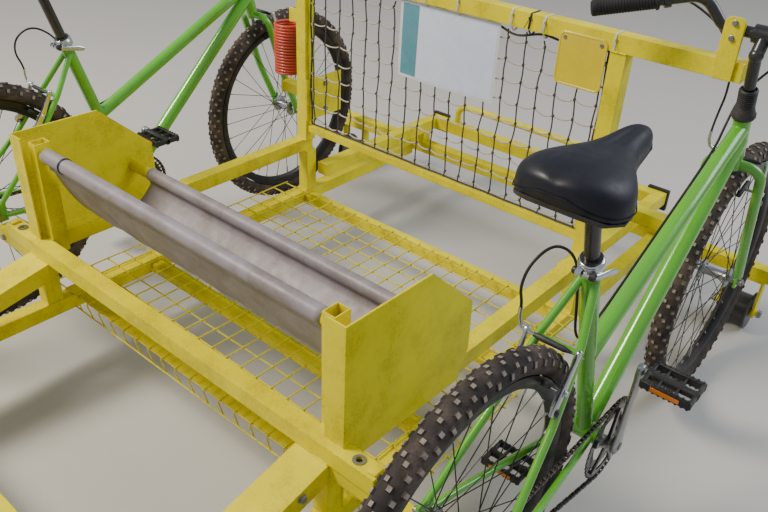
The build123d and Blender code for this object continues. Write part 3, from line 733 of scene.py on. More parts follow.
@dataclass
class Wheel:
    """A spoked wheel: boxed rim, 32 crossed spokes with nipples, hub, and a sprocket at the rear."""

    side: str
    end: str
    spokes: int = 32
    spoke_radius: float = 1.05
    elbow: float = 1.8
    hole_radius: float = 22.0
    cross_degrees: float = 62.0
    rim_depth: float = 26.0
    bore: float = 5.1
    teeth: int = 16
    # half width and depth from the rim's edge, down one flank
    flank: tuple = ((13, 0), (13, 6), (12, 13), (9, 21), (4, 26))
    # distance from a hub flange towards the hub's middle, and radius
    flange: tuple = ((-4, 9), (-2, 24), (-1, 26), (1, 26), (2, 24), (5, 13), (10, 11.5))
    # half the hub's length, its left flange, its right flange
    hubs: ClassVar[dict[str, tuple]] = {"rear": (61.5, -49.5, 22.0), "front": (44.0, -32.0, 32.0)}
    # distance from the wheel's middle, and radius
    sprocket: tuple = ((34, 9), (34, 22), (36, 24), (47, 24), (48.5, 22), (48.5, 9))

    def build(self) -> None:
        """Makes the wheel in place of the plain one."""
        name = f"{self.side}_{self.end}_wheel"
        centre = spot(BIKE_X[self.side], AXLE_Y[self.end], AXLE_Z)
        shaper = Shaper(f"{name}_with_spokes", [Finish.RIM, Finish.SPOKE, Finish.ALLOY, Finish.CHAIN], name)
        edge = RIM_RADIUS
        rim = [(-x, edge - depth) for x, depth in self.flank]
        rim += [(x, edge - depth) for x, depth in self.flank[::-1]]
        rim += [(11.4, edge), (10, edge - 13), (-10, edge - 13), (-11.4, edge)]
        shaper.lathe(centre, rim, turns=128, slot=0)
        reach, low, high = self.hubs[self.end]
        hub = [(-reach, self.bore), (-reach, 8.4)] + [(low + x, r) for x, r in self.flange]
        hub += [(high - x, r) for x, r in self.flange[::-1]] + [(reach, 8.4), (reach, self.bore)]
        shaper.lathe(centre, hub, turns=48, slot=2)
        if self.end == "rear":
            shaper.lathe(centre, self.sprocket, turns=48, slot=3)
            chain_side = centre + Vector((CHAIN_LINE * MM, 0, 0))
            add_teeth(shaper, chain_side, self.teeth, (20.0, 30.5, 33.9), 1.3, 3)
        for index in range(self.spokes):
            self.add_spoke(shaper, centre, index, (low, high)[index % 2])
        valve = centre + Vector((0, 0, -(edge - self.rim_depth) * MM))
        stem = [valve + Vector((0, 0, rise * MM)) for rise in (0, 14, 30)]
        shaper.tube(stem, [3 * MM, 3 * MM, 2 * MM], 10, 2)
        piece = shaper.build()
        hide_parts(name)

    def add_spoke(self, shaper: Shaper, centre: Vector, index: int, flange: float) -> None:
        """Adds one spoke with its elbow and its nipple.

        Args:
            shaper: the wheel's faces.
            centre: the axle's middle.
            index: the spoke's number.
            flange: how far its hub flange is from the middle, in mm.
        """
        way = 1 if index % 4 < 2 else -1
        angle = TURN * index / self.spokes
        lean = angle + way * radians(self.cross_degrees)
        across_hub, up_hub = self.hole_radius * cos(lean), self.hole_radius * sin(lean)
        hole = centre + Vector((flange, across_hub, up_hub)) * MM
        reach = RIM_RADIUS - self.rim_depth
        tip = centre + spoke_way(angle) * reach * MM
        bend = Vector((way * self.elbow * MM, 0, 0))
        start = hole + bend
        neck = tip.lerp(start, 12 * MM / (tip - start).length)
        shaper.tube([hole - bend, start, tip], self.spoke_radius * MM, 6, 1)
        nipple = [neck, neck.lerp(tip, 0.25), tip.lerp(start, -0.012)]
        shaper.tube(nipple, [1.6 * MM, 2.1 * MM, 2.1 * MM], 8, 2)


def add_teeth(shaper: Shaper, centre: Vector, count: int, radii: tuple[float, float, float], half: float,
              slot: int) -> None:
    """Adds a toothed ring on an axis along X.

    Args:
        shaper: the piece's faces.
        centre: the ring's middle.
        count: how many teeth.
        radii: the ring's bore, the foot of the teeth and their tips, in mm.
        half: half the ring's thickness, in mm.
        slot: which finish.
    """
    bore, foot, tip = radii
    side = Vector((half * MM, 0, 0))
    # share of the pitch, radius, share of the thickness
    tooth = ((0.0, foot, 1.0), (0.22, foot, 1.0), (0.40, tip, 0.6), (0.60, tip, 0.6), (0.78, foot, 1.0))
    loops = []
    for index in range(count):
        for share, radius, thin in tooth:
            out = spoke_way(TURN * (index + share) / count)
            inner, outer = centre + out * bore * MM, centre + out * radius * MM
            loops.append([inner - side, outer - side * thin, outer + side * thin, inner + side])
    shaper.loft(loops, slot, closed=True)


@dataclass
class Crankset:
    """Forged crank arms, the spider with its two toothed rings, and the pedal spindles."""

    side: str
    inner: float = 62.0
    thick: float = 15.0
    squareness: float = 0.55
    # teeth, distance inside the chain line, radii of bore, foot and tip, half thickness
    rings: tuple = ((42, 0.0, (68.0, 80.0, 84.0), 1.4), (32, 4.5, (47.0, 62.0, 66.0), 1.2))
    spider_arms: int = 5
    spider: tuple = ((8, 15), (26, 11), (50, 7), (68, 8), (74, 6))
    # distance along the arm, half width, half depth
    stations: tuple = ((-17, 4, 4), (-15, 11, 6.5), (-6, 17, 7.5), (8, 16.5, 7.5), (26, 12, 6.6),
                       (90, 10.5, 6.0), (148, 10.5, 6.6), (160, 12, 7.5), (174, 12, 7.5), (180, 8, 6.5),
                       (182, 3, 4))
    ring_bolt: tuple = ((-3, 0.01), (-3, 3.6), (6.2, 3.6), (7, 2.8), (7, 0.01))
    # distance from the arm's face, and radius
    cap: tuple = ((1.2, 0.01), (1.2, 8), (-1, 10))
    spindle: tuple = ((-2, 0.01), (-2, 7), (3.5, 7), (4, 5), (92, 5), (92, 0.01))

    def build(self) -> None:
        """Makes the crankset in place of the plain one."""
        name = f"{self.side}_crankset"
        shaper = Shaper(f"{name}_forged", [Finish.ALLOY, Finish.BLACK_LACQUER, Finish.ZINC], name)
        middle = spot(BIKE_X[self.side], *BRACKET)
        shaper.lathe(middle, [(-66, 0.01), (-66, 8), (66, 8), (66, 0.01)], turns=24, slot=2, closed=False)
        chainring = middle + RIGHT * CHAIN_LINE * MM
        for teeth, inward, radii, half in self.rings:
            add_teeth(shaper, chainring - RIGHT * inward * MM, teeth, radii, half, 1)
        for index in range(self.spider_arms):
            out = spoke_way(radians(CRANK_DEGREES + 360 * index / self.spider_arms))
            self.add_spider_arm(shaper, chainring, out)
        for sign in SIGNS:
            out = spoke_way(radians(CRANK_DEGREES)) * sign
            self.add_arm(shaper, middle + RIGHT * sign * (self.inner + self.thick / 2) * MM, out, sign)
        piece = shaper.build(45)
        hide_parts(name)

    def add_spider_arm(self, shaper: Shaper, chainring: Vector, out: Vector) -> None:
        """Adds one spider arm and its chainring bolt.

        Args:
            shaper: the crankset's faces.
            chainring: the outer ring's middle.
            out: the way the arm points.
        """
        other = RIGHT.cross(out)
        corners = ((-1, -0.7), (-0.8, -1), (0.8, -1), (1, -0.7), (1, 0.7), (0.8, 1), (-0.8, 1), (-1, 0.7))
        loops = []
        for reach, wide in self.spider:
            foot = chainring + RIGHT * 3.6 * MM + out * reach * MM
            loops.append([foot + (other * a * wide + RIGHT * b * 2.4) * MM for a, b in corners])
        shaper.loft(loops, 1)
        shaper.lathe(chainring + out * 70 * MM, self.ring_bolt, turns=14, slot=2, closed=False)

    def add_arm(self, shaper: Shaper, root: Vector, out: Vector, sign: int) -> None:
        """Adds one arm with its dust cap and its pedal spindle.

        Args:
            shaper: the crankset's faces.
            root: the arm's middle at the bottom bracket.
            out: the way the arm points.
            sign: 1 for the right arm, -1 for the left.
        """
        other = RIGHT.cross(out)
        loops = []
        for reach, wide, deep in self.stations:
            loop = []
            for t in angles(20):
                c, s = squared(cos(t), self.squareness), squared(sin(t), self.squareness)
                loop.append(root + (out * reach + other * wide * c + RIGHT * deep * s) * MM)
            loops.append(loop)
        shaper.loft(loops, 0)
        for reach, turns, slot, shape in ((0.0, 24, 1, self.cap), (CRANK_LENGTH, 16, 2, self.spindle)):
            profile = [((self.thick / 2 + a) * sign, r) for a, r in shape]
            shaper.lathe(root + out * reach * MM, profile, turns, slot, closed=False)


@dataclass
class Pedal:
    """A moulded cage pedal with gripping teeth and a reflector in each long side."""

    side: str
    hand: str
    near: float = 82.0
    length: float = 96.0
    core: float = 7.5
    cage: Pair = (30.0, 38.0)
    teeth: int = 9

    def build(self) -> None:
        """Makes the pedal in place of the plain one."""
        node = f"{self.side}_bike_{self.hand}_pedal"
        sign = 1 if self.hand == "right" else -1
        turn = radians(CRANK_DEGREES)
        half = self.length / 2
        centre = spot(BIKE_X[self.side] + sign * (self.near + half),
                      BRACKET[0] + sign * CRANK_LENGTH * cos(turn),
                      BRACKET[1] + sign * CRANK_LENGTH * sin(turn))
        shaper = Shaper(f"{node}_cage", [Finish.BLACK_PLASTIC, Finish.AMBER, Finish.ZINC], node)
        core = [(-half, 5.2), (-half, 9), (-half + 3, 11), (-half + 12, 11), (-half + 18, 9),
                (half - 14, 8.5), (half - 5, 10), (half - 1, 9.5), (half, 8), (half, 5.2)]
        shaper.lathe(centre, [(a * sign, r) for a, r in core], turns=28)

        def add(x: Pair, y: Pair, z: Pair, bevel: float, slot: int = 0) -> None:
            """Adds a block between distances in mm from the pedal's middle."""
            low, high = Vector((min(x), min(y), z[0])), Vector((max(x), max(y), z[1]))
            shaper.block(centre + low * MM, centre + high * MM, bevel * MM, slot)

        near, far = self.cage
        for face in SIGNS:
            add((-half, half), (face * near, face * far), (-8.6, 8.6), 2.0)
            add((-27, 27), (face * 37.4, face * 40.0), (-4.6, 4.6), 0.8, 1)
            for foot in evenly(6 - half, half - 6, self.teeth - 1):
                for level in SIGNS:
                    tooth = (level * 9.6 - 1.4, level * 9.6 + 1.4)
                    add((foot - 2.2, foot + 2.2), (face * 31.5, face * 36.5), tooth, 0.7)
        for face in SIGNS:
            for x, thick, tall, bevel in ((-half + 4, 3.5, 7, 1.6), (half - 4, 3.5, 7, 1.6), (-18, 2, 6, 1.0),
                                          (14, 2, 6, 1.0)):
                add((x - thick, x + thick), (face * self.core, face * 32), (-tall, tall), bevel)
        piece = shaper.build(35)
        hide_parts(node)


@dataclass
class Chain:
    """The roller chain round the chainring and the sprocket."""

    pitch: float = 12.7
    small: float = 38.8
    large: float = 88.8
    pin: tuple = ((-3.9, 0.01), (-3.9, 1.7), (3.9, 1.7), (3.9, 0.01))
    roller: tuple = ((-1.8, 1.7), (-1.8, 3.8), (1.8, 3.8), (1.8, 1.7))

    def build(self) -> None:
        """Makes both bicycles' chains in place of the plain bands."""
        shaper = Shaper("chain_links", [Finish.CHAIN, Finish.ZINC])
        for x in BIKE_X.values():
            self.add_loop(shaper, x + CHAIN_LINE)
        piece = shaper.build(50)
        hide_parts("chains")

    def add_loop(self, shaper: Shaper, x: float) -> None:
        """Adds one closed loop of links.

        Args:
            shaper: the chains' faces.
            x: the chain line.
        """
        rear, front = Vector((0, 0, AXLE_Z)), Vector((0, *BRACKET))
        reach = front - rear
        heading = math.atan2(reach.z, reach.y)
        wrap = math.acos((self.small - self.large) / reach.length)
        corners = []
        for centre, radius, start, sweep in ((front, self.large, heading - wrap, 2 * wrap),
                                             (rear, self.small, heading + wrap, 2 * (pi - wrap))):
            corners += [centre + spoke_way(a) * radius for a in evenly(start, start + sweep, 48)]
        length = sum((b - a).length for a, b in zip(corners, corners[1:] + corners[:1]))
        count = 2 * round(length / self.pitch / 2)
        pins = spaced(corners, count, closed=True)
        for index, pin in enumerate(pins):
            after = pins[(index + 1) % count]
            along = (after - pin).normalized()
            other = RIGHT.cross(along)
            outline = []
            for base, sign in ((after, 1), (pin, -1)):
                for a in (radians(degrees) for degrees in (-80, -40, 0, 40, 80)):
                    outline.append(base + (along * cos(a) + other * sin(a)) * 4.0 * sign)
                outline.append((pin + after) / 2 + other * 3.1 * sign)
            levels = (1.9, 2.7) if index % 2 else (2.8, 3.5)
            for sign in SIGNS:
                shaper.loft([[spot(x + sign * level, p.y, p.z) for p in outline] for level in levels])
            place = spot(x, pin.y, pin.z)
            shaper.lathe(place, self.pin, turns=8, slot=1, closed=False)
            shaper.lathe(place, self.roller, turns=12, slot=0)


@dataclass
class Saddle:
    """A padded comfort saddle: crowned cover, channel down the middle, moulded base."""

    side: str
    middle_y: float = 247.4
    top: float = 925.0
    # distance from the middle, half width, the crown's and the edge's height against the top
    stations: tuple = ((-128, 20, -14, -34), (-121, 50, -7, -45), (-102, 75, -1, -54), (-75, 87, 1, -58),
                       (-45, 84, 0, -58), (-10, 66, -3, -54), (25, 44, -5, -50), (60, 32, -4, -46),
                       (95, 27, -2, -43), (125, 23, -5, -40), (139, 16, -10, -36), (146, 6, -18, -31))
    # share of the half width and drop under the edge, back along the underside
    underside: tuple = ((0.97, 3.5), (0.86, 6.0), (0.5, 6.5), (0.0, 6.5), (-0.5, 6.5), (-0.86, 6.0),
                        (-0.97, 3.5))

    def section(self, wide: float, top: float, edge: float, y: float) -> Path:
        """One closed section of the cover.

        Args:
            wide: half its width.
            top: the height of its crown under the saddle's top.
            edge: the height of its edge under the saddle's top.
            y: its distance from the saddle's middle.

        Returns:
            Its points, over the crown and back underneath.
        """
        loop = []
        for angle in evenly(-pi / 2, pi / 2, 24):
            x = wide * squared(sin(angle), 0.85)
            fade = held((y + 30) / 30) * held((128 - y) / 30)
            channel = 6.5 * fade * math.exp(-((x / 7.5) ** 2))
            rear_split = 4.0 * held((-85 - y) / 30) * math.exp(-((x / 12) ** 2))
            crown = (top - edge) * max(cos(angle), 0.0) ** 0.62
            loop.append(self.place(x, y, edge + crown - channel - rear_split))
        return loop + [self.place(wide * share, y, edge - drop) for share, drop in self.underside]

    def place(self, x: float, y: float, down: float) -> Vector:
        """A point given from the saddle's middle line and its top."""
        return spot(BIKE_X[self.side] + x, self.middle_y + y, self.top + down)

    def build(self) -> None:
        """Makes the cover as a padded piece, and the base with its seam."""
        cover = Shaper(f"{self.side}_saddle_cover", [Finish.VINYL])
        cover.loft([self.section(wide, top, edge, y) for y, wide, top, edge in self.stations])
        piece = cover.build(180, levels=2)
        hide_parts("saddles")
        base = Shaper(f"{self.side}_saddle_base", [Finish.BLACK_PLASTIC, Finish.VINYL])
        halves = ((1, self.stations[1:-1]), (-1, self.stations[-2:0:-1]))
        base.loft([[self.place(sign * max(wide - inset, 3), y, edge + drop) for sign, half in halves
                    for y, wide, _, edge in half] for drop, inset in ((-4, 3), (-8.5, 3.5), (-11.5, 10))])
        seam = [self.place(sign * wide * 0.995, y, edge + 2.5) for sign in (1, -1)
                for y, wide, _, edge in self.stations[::sign]]
        base.tube(spaced(seam, 120, closed=True), 1.1 * MM, 6, 1, closed=True)
        bottom = base.build(40)


@dataclass
class SeatClamp:
    """The alloy collar at the top of the seat tube, with its quick-release lever."""

    side: str
    tube_top: Pair = (297.1, 703.1)
    lean: Pair = (-0.2924, 0.9563)
    collar: tuple = ((0, 17.4), (0, 20), (1.5, 21.5), (15, 21.5), (16.5, 20.5), (19, 21.2), (21, 20.2),
                     (22, 18.2), (22, 17.4))
    ear: tuple = ((-6, -6), (-6, 4), (-3, 7), (3, 7), (6, 4), (6, -6))
    skewer: tuple = ((-19, 0.01), (-19, 5), (-17, 6.5), (-12, 6.5), (-12, 3), (12, 3), (12, 7), (20, 7),
                     (21, 5), (21, 0.01))
    # across, back and up from the skewer's middle, half width, half thickness
    blade: tuple = ((16, 1, 0, 5.5, 4), (20, -10, -6, 6, 3.6), (24, -26, -13, 6.5, 2.6),
                    (27, -44, -22, 7, 2.2), (29, -56, -30, 4.5, 1.6))

    def build(self) -> None:
        """Makes the collar, the pivot and the lever."""
        shaper = Shaper(f"{self.side}_seat_clamp", [Finish.BRIGHT_ALLOY, Finish.BLACK_PLASTIC])
        up = Vector((0, *self.lean))
        rear = Vector((0, -self.lean[1], self.lean[0]))
        foot = spot(BIKE_X[self.side], *self.tube_top) - up * 3 * MM
        shaper.lathe(foot, self.collar, turns=64, axis=up)
        pivot = foot + up * 9 * MM + rear * 24 * MM
        for ends in ((-12, -2), (2, 12)):
            shaper.loft([[pivot + (RIGHT * x + up * u + rear * r) * MM for u, r in self.ear] for x in ends])
        shaper.lathe(pivot, self.skewer, turns=24, slot=1, closed=False)
        line = [pivot + (RIGHT * x + rear * back + up * rise) * MM for x, back, rise, _, _ in self.blade]
        loops = []
        for i, (*_, half, thick) in enumerate(self.blade):
            along = (line[min(i + 1, len(line) - 1)] - line[max(i - 1, 0)]).normalized()
            wide = along.cross(RIGHT).normalized()
            loops.append(ring(line[i], wide * half, along.cross(wide) * thick, MM, 14))
        shaper.loft(loops)
        piece = shaper.build()


def bar_end(x: float, hand: int) -> tuple[Vector, Vector]:
    """Where a handlebar ends, in mm, and the direction of its straight end.

    Args:
        x: the bicycle's plane.
        hand: 1 for the right end, -1 for the left.

    Returns:
        The end and the direction towards it.
    """
    corner, end = (Vector((x + hand * out, y, z)) for out, y, z in (BAR_CORNER, BAR_END))
    return end, (end - corner).normalized()


@dataclass
class Grip:
    """A ribbed rubber grip with a collar at its inner end and a rounded outer end."""

    side: str
    hand: int
    length: float = 125.0
    ribs: int = 19
    rib_pitch: float = 5.6

    def build(self) -> None:
        """Makes the grip in place of the plain sleeve."""
        end, along = bar_end(BIKE_X[self.side], self.hand)
        profile = [(0, 11.3), (0, 17), (1.5, 18.4), (5, 18.4), (6.5, 16)]
        for rib in range(self.ribs):
            foot = 10 + rib * self.rib_pitch
            profile += [(foot, 15.2), (foot + 0.8, 16.1), (foot + 3.4, 16.1), (foot + 4.2, 15.2)]
        profile += [(118, 16), (124, 16), (127, 15.2), (128.8, 12.5), (129.5, 8), (129.5, 0.01)]
        name = f"{self.side}_bike_{'right' if self.hand > 0 else 'left'}_grip"
        shaper = Shaper(name, [Finish.GRIP])
        shaper.lathe(spot(*(end - along * self.length)), profile, turns=40, axis=along, closed=False)
        piece = shaper.build(30)
        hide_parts("handlebar_grips")


@dataclass(frozen=True)
class RimBrake:
    """Where one rim brake sits: its points by distance from the rim's edge and angle round the axle."""

    axle_y: float
    reach: float
    pivot: Pair
    top: Pair
    stay: Pair

    def at(self, from_rim: float, degrees: float) -> Pair:
        """A point of the bicycle's plane as (y, z)."""
        radius, angle = RIM_RADIUS + from_rim, radians(degrees)
        return self.axle_y + radius * cos(angle), AXLE_Z + radius * sin(angle)

    def boot(self) -> Pair:
        """Where the cable passes between the arms' heads, as (y, z)."""
        return self.at(self.top[0] - 2, self.top[1])


@dataclass
class Brakes:
    """Both rim brakes of a bicycle and their levers: arms, pads, springs, noodle tubes, cables."""

    side: str
    rear: RimBrake = RimBrake(0.0, 46.5, (-42.0, 50.1), (54.0, 52.4), (0.775, -0.632))
    front: RimBrake = RimBrake(1070.0, 57.0, (-33.0, 106.9), (68.0, 105.8), (-0.946, -0.326))
    cable: float = 2.5
    pad_depth: float = -9.0
    pad: tuple[float, float, float] = (4.5, 28.0, 5.0)
    lever_reach: float = 141.0
    # share of the arm's length, half width, half depth
    arm: tuple = ((-0.10, 4, 3), (-0.075, 8.5, 4.4), (0.06, 9.5, 4.5), (0.2, 7.4, 4.0), (0.45, 7.2, 4.0),
                  (0.6, 5.6, 3.6), (0.92, 5.2, 3.6), (1.0, 6.5, 4.2), (1.06, 5.0, 3.8), (1.08, 2.0, 2.0))
    # the housings' way from lever to brake, from the bicycle's plane
    rear_route: tuple = (
        (150, 918, 978), (84, 948, 942), (16, 954, 884), (-26, 934, 812), (-26.2, 890, 756),
        (-20.2, 846, 726.6), (-20.2, 600, 606.3), (-20.2, 392, 504.4), (-22.4, 345, 520), (-22.4, 322, 620),
        (-22.4, 300, 692), (-30, 276, 730), (-42, 236, 752), (-54, 198, 730), (-60, 188, 690),
    )
    front_route: tuple = ((-158, 924, 976), (-104, 968, 930), (-72, 992, 850), (-70, 998, 790),
                          (-74, 992, 752))

    def build(self) -> None:
        """Makes the brakes, the levers and the cables."""
        finishes = [Finish.BRIGHT_ALLOY, Finish.BLACK_PLASTIC, Finish.BLACK_LACQUER]
        shaper = Shaper(f"{self.side}_bike_brakes", finishes)
        x = BIKE_X[self.side]
        for brake in (self.rear, self.front):
            self.add_brake(shaper, x, brake)
        for hand in SIGNS:
            self.add_lever(shaper, x, hand)
        shaper.build(50)
        self.add_cable("rear", x, 1, self.rear, self.rear_route)
        self.add_cable("front", x, -1, self.front, self.front_route)

    def add_brake(self, shaper: Shaper, x: float, brake: RimBrake) -> None:
        """Adds both arms of a brake with their pads, springs and bolts, the noodle tube and the boot.

        Args:
            shaper: the brakes' faces.
            x: the bicycle's plane.
            brake: where the brake sits.
        """
        pivot, top, boot = brake.at(*brake.pivot), brake.at(*brake.top), brake.boot()
        share = (self.pad_depth - brake.pivot[0]) / (brake.top[0] - brake.pivot[0])
        lean = brake.pivot[1] + share * (brake.top[1] - brake.pivot[1])
        grip = brake.at(self.pad_depth, lean)
        foot = (pivot[0] + 9.6 * brake.stay[0], pivot[1] + 9.6 * brake.stay[1])
        spring = [pivot] + [(pivot[0] + (top[0] - pivot[0]) * t - bow, pivot[1] + (top[1] - pivot[1]) * t)
                            for t, bow in ((0.3, 6.0), (0.62, 0.0))]
        corner = Vector(self.pad)
        for sign in SIGNS:
            arm_x, way = x + sign * brake.reach, Vector((sign, 0, 0))
            self.add_arm(shaper, arm_x, pivot, top)
            shaper.tube([spot(arm_x, *pivot), spot(arm_x, *foot)], 5.5 * MM, 16, 2)
            pad = spot(x + sign * 22.5, *grip)
            turn = Matrix.Translation(pad) @ Matrix.Rotation(radians(lean + 90), 4, "X")
            shaper.block(corner * -MM, corner * MM, 1.6 * MM, 1, turn)
            shaper.tube([spot(x + sign * 25, *grip), spot(arm_x + sign * 3, *grip)], 3.4 * MM, 14, 0)
            shaper.bolt(spot(arm_x + sign * 4.2, *pivot), way, 7 * MM, 2)
            shaper.bolt(spot(arm_x + sign * 4.2, *grip), way, 6 * MM, 0)
            shaper.tube([spot(x + sign * (brake.reach - 6), *p) for p in spring], 0.9 * MM, 6, 0)
        left, right = x - brake.reach, x + brake.reach
        noodle = [(left - 15, boot[0] - 2, boot[1] + 40), (left - 16, boot[0] - 2, boot[1] + 22),
                  (left - 10, boot[0] - 1, boot[1] + 3), (left + 16, *boot)]
        shaper.tube(rounded(spots(noodle), 18 * MM, 6), 3.4 * MM, 14, 0)
        bellows = spots((a, *boot) for a in (left + 14, left + 22, right - 24, right - 12))
        shaper.tube(bellows, [3.6 * MM, 5.4 * MM, 5.0 * MM, 2.2 * MM], 16, 1)
        shaper.tube([spot(right - 14, *boot), spot(right + 10, *boot)], 1.0 * MM, 8, 0)

    def add_arm(self, shaper: Shaper, x: float, pivot: Pair, top: Pair) -> None:
        """Adds a forged arm that tapers from its pivot to the cable.

        Args:
            shaper: the brakes' faces.
            x: the arm's plane.
            pivot: its foot as (y, z).
            top: its head.
        """
        start, end = spot(x, *pivot), spot(x, *top)
        wide = (end - start).normalized().cross(RIGHT).normalized()
        sides = 16
        loops = []
        for share, half, deep in self.arm:
            middle = start.lerp(end, share) + wide * 2.5 * MM * sin(pi * held(share))
            loops.append([middle + (wide * half * squared(cos(t), 0.5)
                                    + RIGHT * deep * squared(sin(t), 0.5)) * MM
                          for t in (TURN * (k + 0.5) / sides for k in range(sides))])
        shaper.loft(loops, 0)

    def lever_place(self, x: float, hand: int) -> tuple[Vector, Vector, Vector]:
        """A lever's clamp centre in mm, with the bar's direction and the way forward from it."""
        end, along = bar_end(x, hand)
        ahead = Vector((hand * abs(along.y), abs(along.x), -0.35)).normalized()
        return end - along * self.lever_reach, along, ahead

    def add_lever(self, shaper: Shaper, x: float, hand: int) -> None:
        """Adds a clamp round the bar, a body ahead of it and a curved blade beside the grip.

        Args:
            shaper: the brakes' faces.
            x: the bicycle's plane.
            hand: 1 for the right lever, -1 for the left.
        """
        centre, along, ahead = self.lever_place(x, hand)
        clamp = [(-7, 11.3), (-7, 15.2), (-5.5, 16.4), (5.5, 16.4), (7, 15.2), (7, 11.3)]
        shaper.lathe(spot(*centre), clamp, turns=32, slot=2, axis=along)

        def run(*steps: Pair) -> Path:
            """Places given as millimetres ahead of the clamp and along the bar."""
            return spots(centre + ahead * near + along * far for near, far in steps)

        shaper.tube(run((13, 0), (22, 0), (34, -3), (40, -3)), [8 * MM, 8.5 * MM, 8 * MM, 5 * MM], 18, 2)
        blade = run((32, -6), (45, 14), (48, 40), (45, 80), (36, 112), (33, 126))
        count = 26
        radii = [(5.6 - 1.6 * min(k, 12) / 12 + (1.2 if k > 22 else 0.0)) * MM for k in range(count)]
        shaper.tube(spaced(rounded(blade, 16 * MM), count), radii, 14, 2)
        shaper.tube(run((34, -6), (34, -14), (34, -22)), [4.6 * MM, 4.4 * MM, 3.4 * MM], 14, 0)

    def add_cable(self, name: str, x: float, hand: int, brake: RimBrake, middle: tuple) -> None:
        """Adds one cable housing from a lever to its noodle tube, held at both ends and along the tubes.

        Args:
            name: which brake it serves.
            x: the bicycle's plane.
            hand: the lever it starts at.
            brake: the brake it ends at.
            middle: the points that it passes, from the bicycle's plane.
        """
        centre, along, ahead = self.lever_place(x, hand)
        y, z = brake.boot()
        left = x - brake.reach - 15
        route = [spot(*(centre + ahead * 34 - along * far)) for far in (20, 34)]
        route += spots((x + a, b, c) for a, b, c in middle)
        route += [spot(left, y - 2, z + 48), spot(left, y - 2, z + 36)]
        data = bpy.data.curves.new(f"{self.side}_{name}_brake_cable", "CURVE")
        data.dimensions = "3D"
        data.bevel_depth = self.cable * MM
        data.bevel_resolution = 3
        data.use_fill_caps = True
        line = data.splines.new("NURBS")
        line.points.add(len(route) - 1)
        for point, place in zip(line.points, route):
            point.co = (*place, 1.0)
        line.order_u = 3
        line.use_endpoint_u = True
        line.resolution_u = 6
        data.materials.append(material(Finish.BLACK_PLASTIC))
        housing = add_object(f"{self.side}_{name}_brake_cable", data)
        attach(housing, "frame")


@dataclass
class StemBoot:
    """The cone over the headset and the ribbed boot up the stem."""

    side: str
    top: float = 785.0
    lean_degrees: float = 74.5
    ribs: int = 8
    rib_pitch: float = 4.4

    def build(self) -> None:
        """Makes the boot round the plain stem."""
        shaper = Shaper(f"{self.side}_stem_boot", [Finish.BLACK_PLASTIC])
        lean = radians(self.lean_degrees)
        up = Vector((0, -cos(lean), sin(lean)))
        reach = (self.top - (AXLE_Z - FORK_RAKE * cos(lean))) / sin(lean)
        y = AXLE_Y["front"] - FORK_RAKE * sin(lean) - reach * cos(lean)
        profile = [(0, 15.2), (0, 22), (3, 23.5), (9, 23.5), (12, 21), (26, 18.4)]
        for rib in range(self.ribs):
            low = 28 + rib * self.rib_pitch
            profile += [(low, 16.6), (low + 1, 18.4), (low + 3, 18.4), (low + 4, 16.6)]
        profile += [(64, 17.5), (66, 15.2)]
        shaper.lathe(spot(BIKE_X[self.side], y, self.top), profile, turns=40, axis=up)
        shaper.build(40)


@dataclass
class SmallSteel:
    """Small steel details: the coil's and the cross bar's lugs, the coupling washers, the fork arms' pads."""

    hole_x: float = 557.0
    hole_z: float = 356.1
    washer: tuple = ((0, 6.6), (0, 12.5), (1.6, 12.5), (1.6, 6.6))
    coil_lug: tuple = ((-552, 895, 700.5), (-506.6, 903, 742))
    # near and far x, low and high y and z, bevel; each block has its mirror image
    blocks: tuple = ((585, 603, (-12, 12), (356.1, 362), 1.2), (688, 697.4, (990, 1034), (421, 461), 1.0))

    def build(self) -> None:
        """Makes the details."""
        shaper = Shaper("small_steel_details", [Finish.YELLOW, Finish.ZINC])
        low, high = spots(self.coil_lug)
        shaper.block(low, high, 1.0 * MM)
        for sign in SIGNS:
            shaper.lathe(spot(sign * self.hole_x, 0, self.hole_z), self.washer, turns=36, slot=1, axis=UP)
            for near, far, y, z, bevel in self.blocks:
                left, right = sorted((sign * near, sign * far))
                shaper.block(spot(left, y[0], z[0]), spot(right, y[1], z[1]), bevel * MM)
        shaper.build()


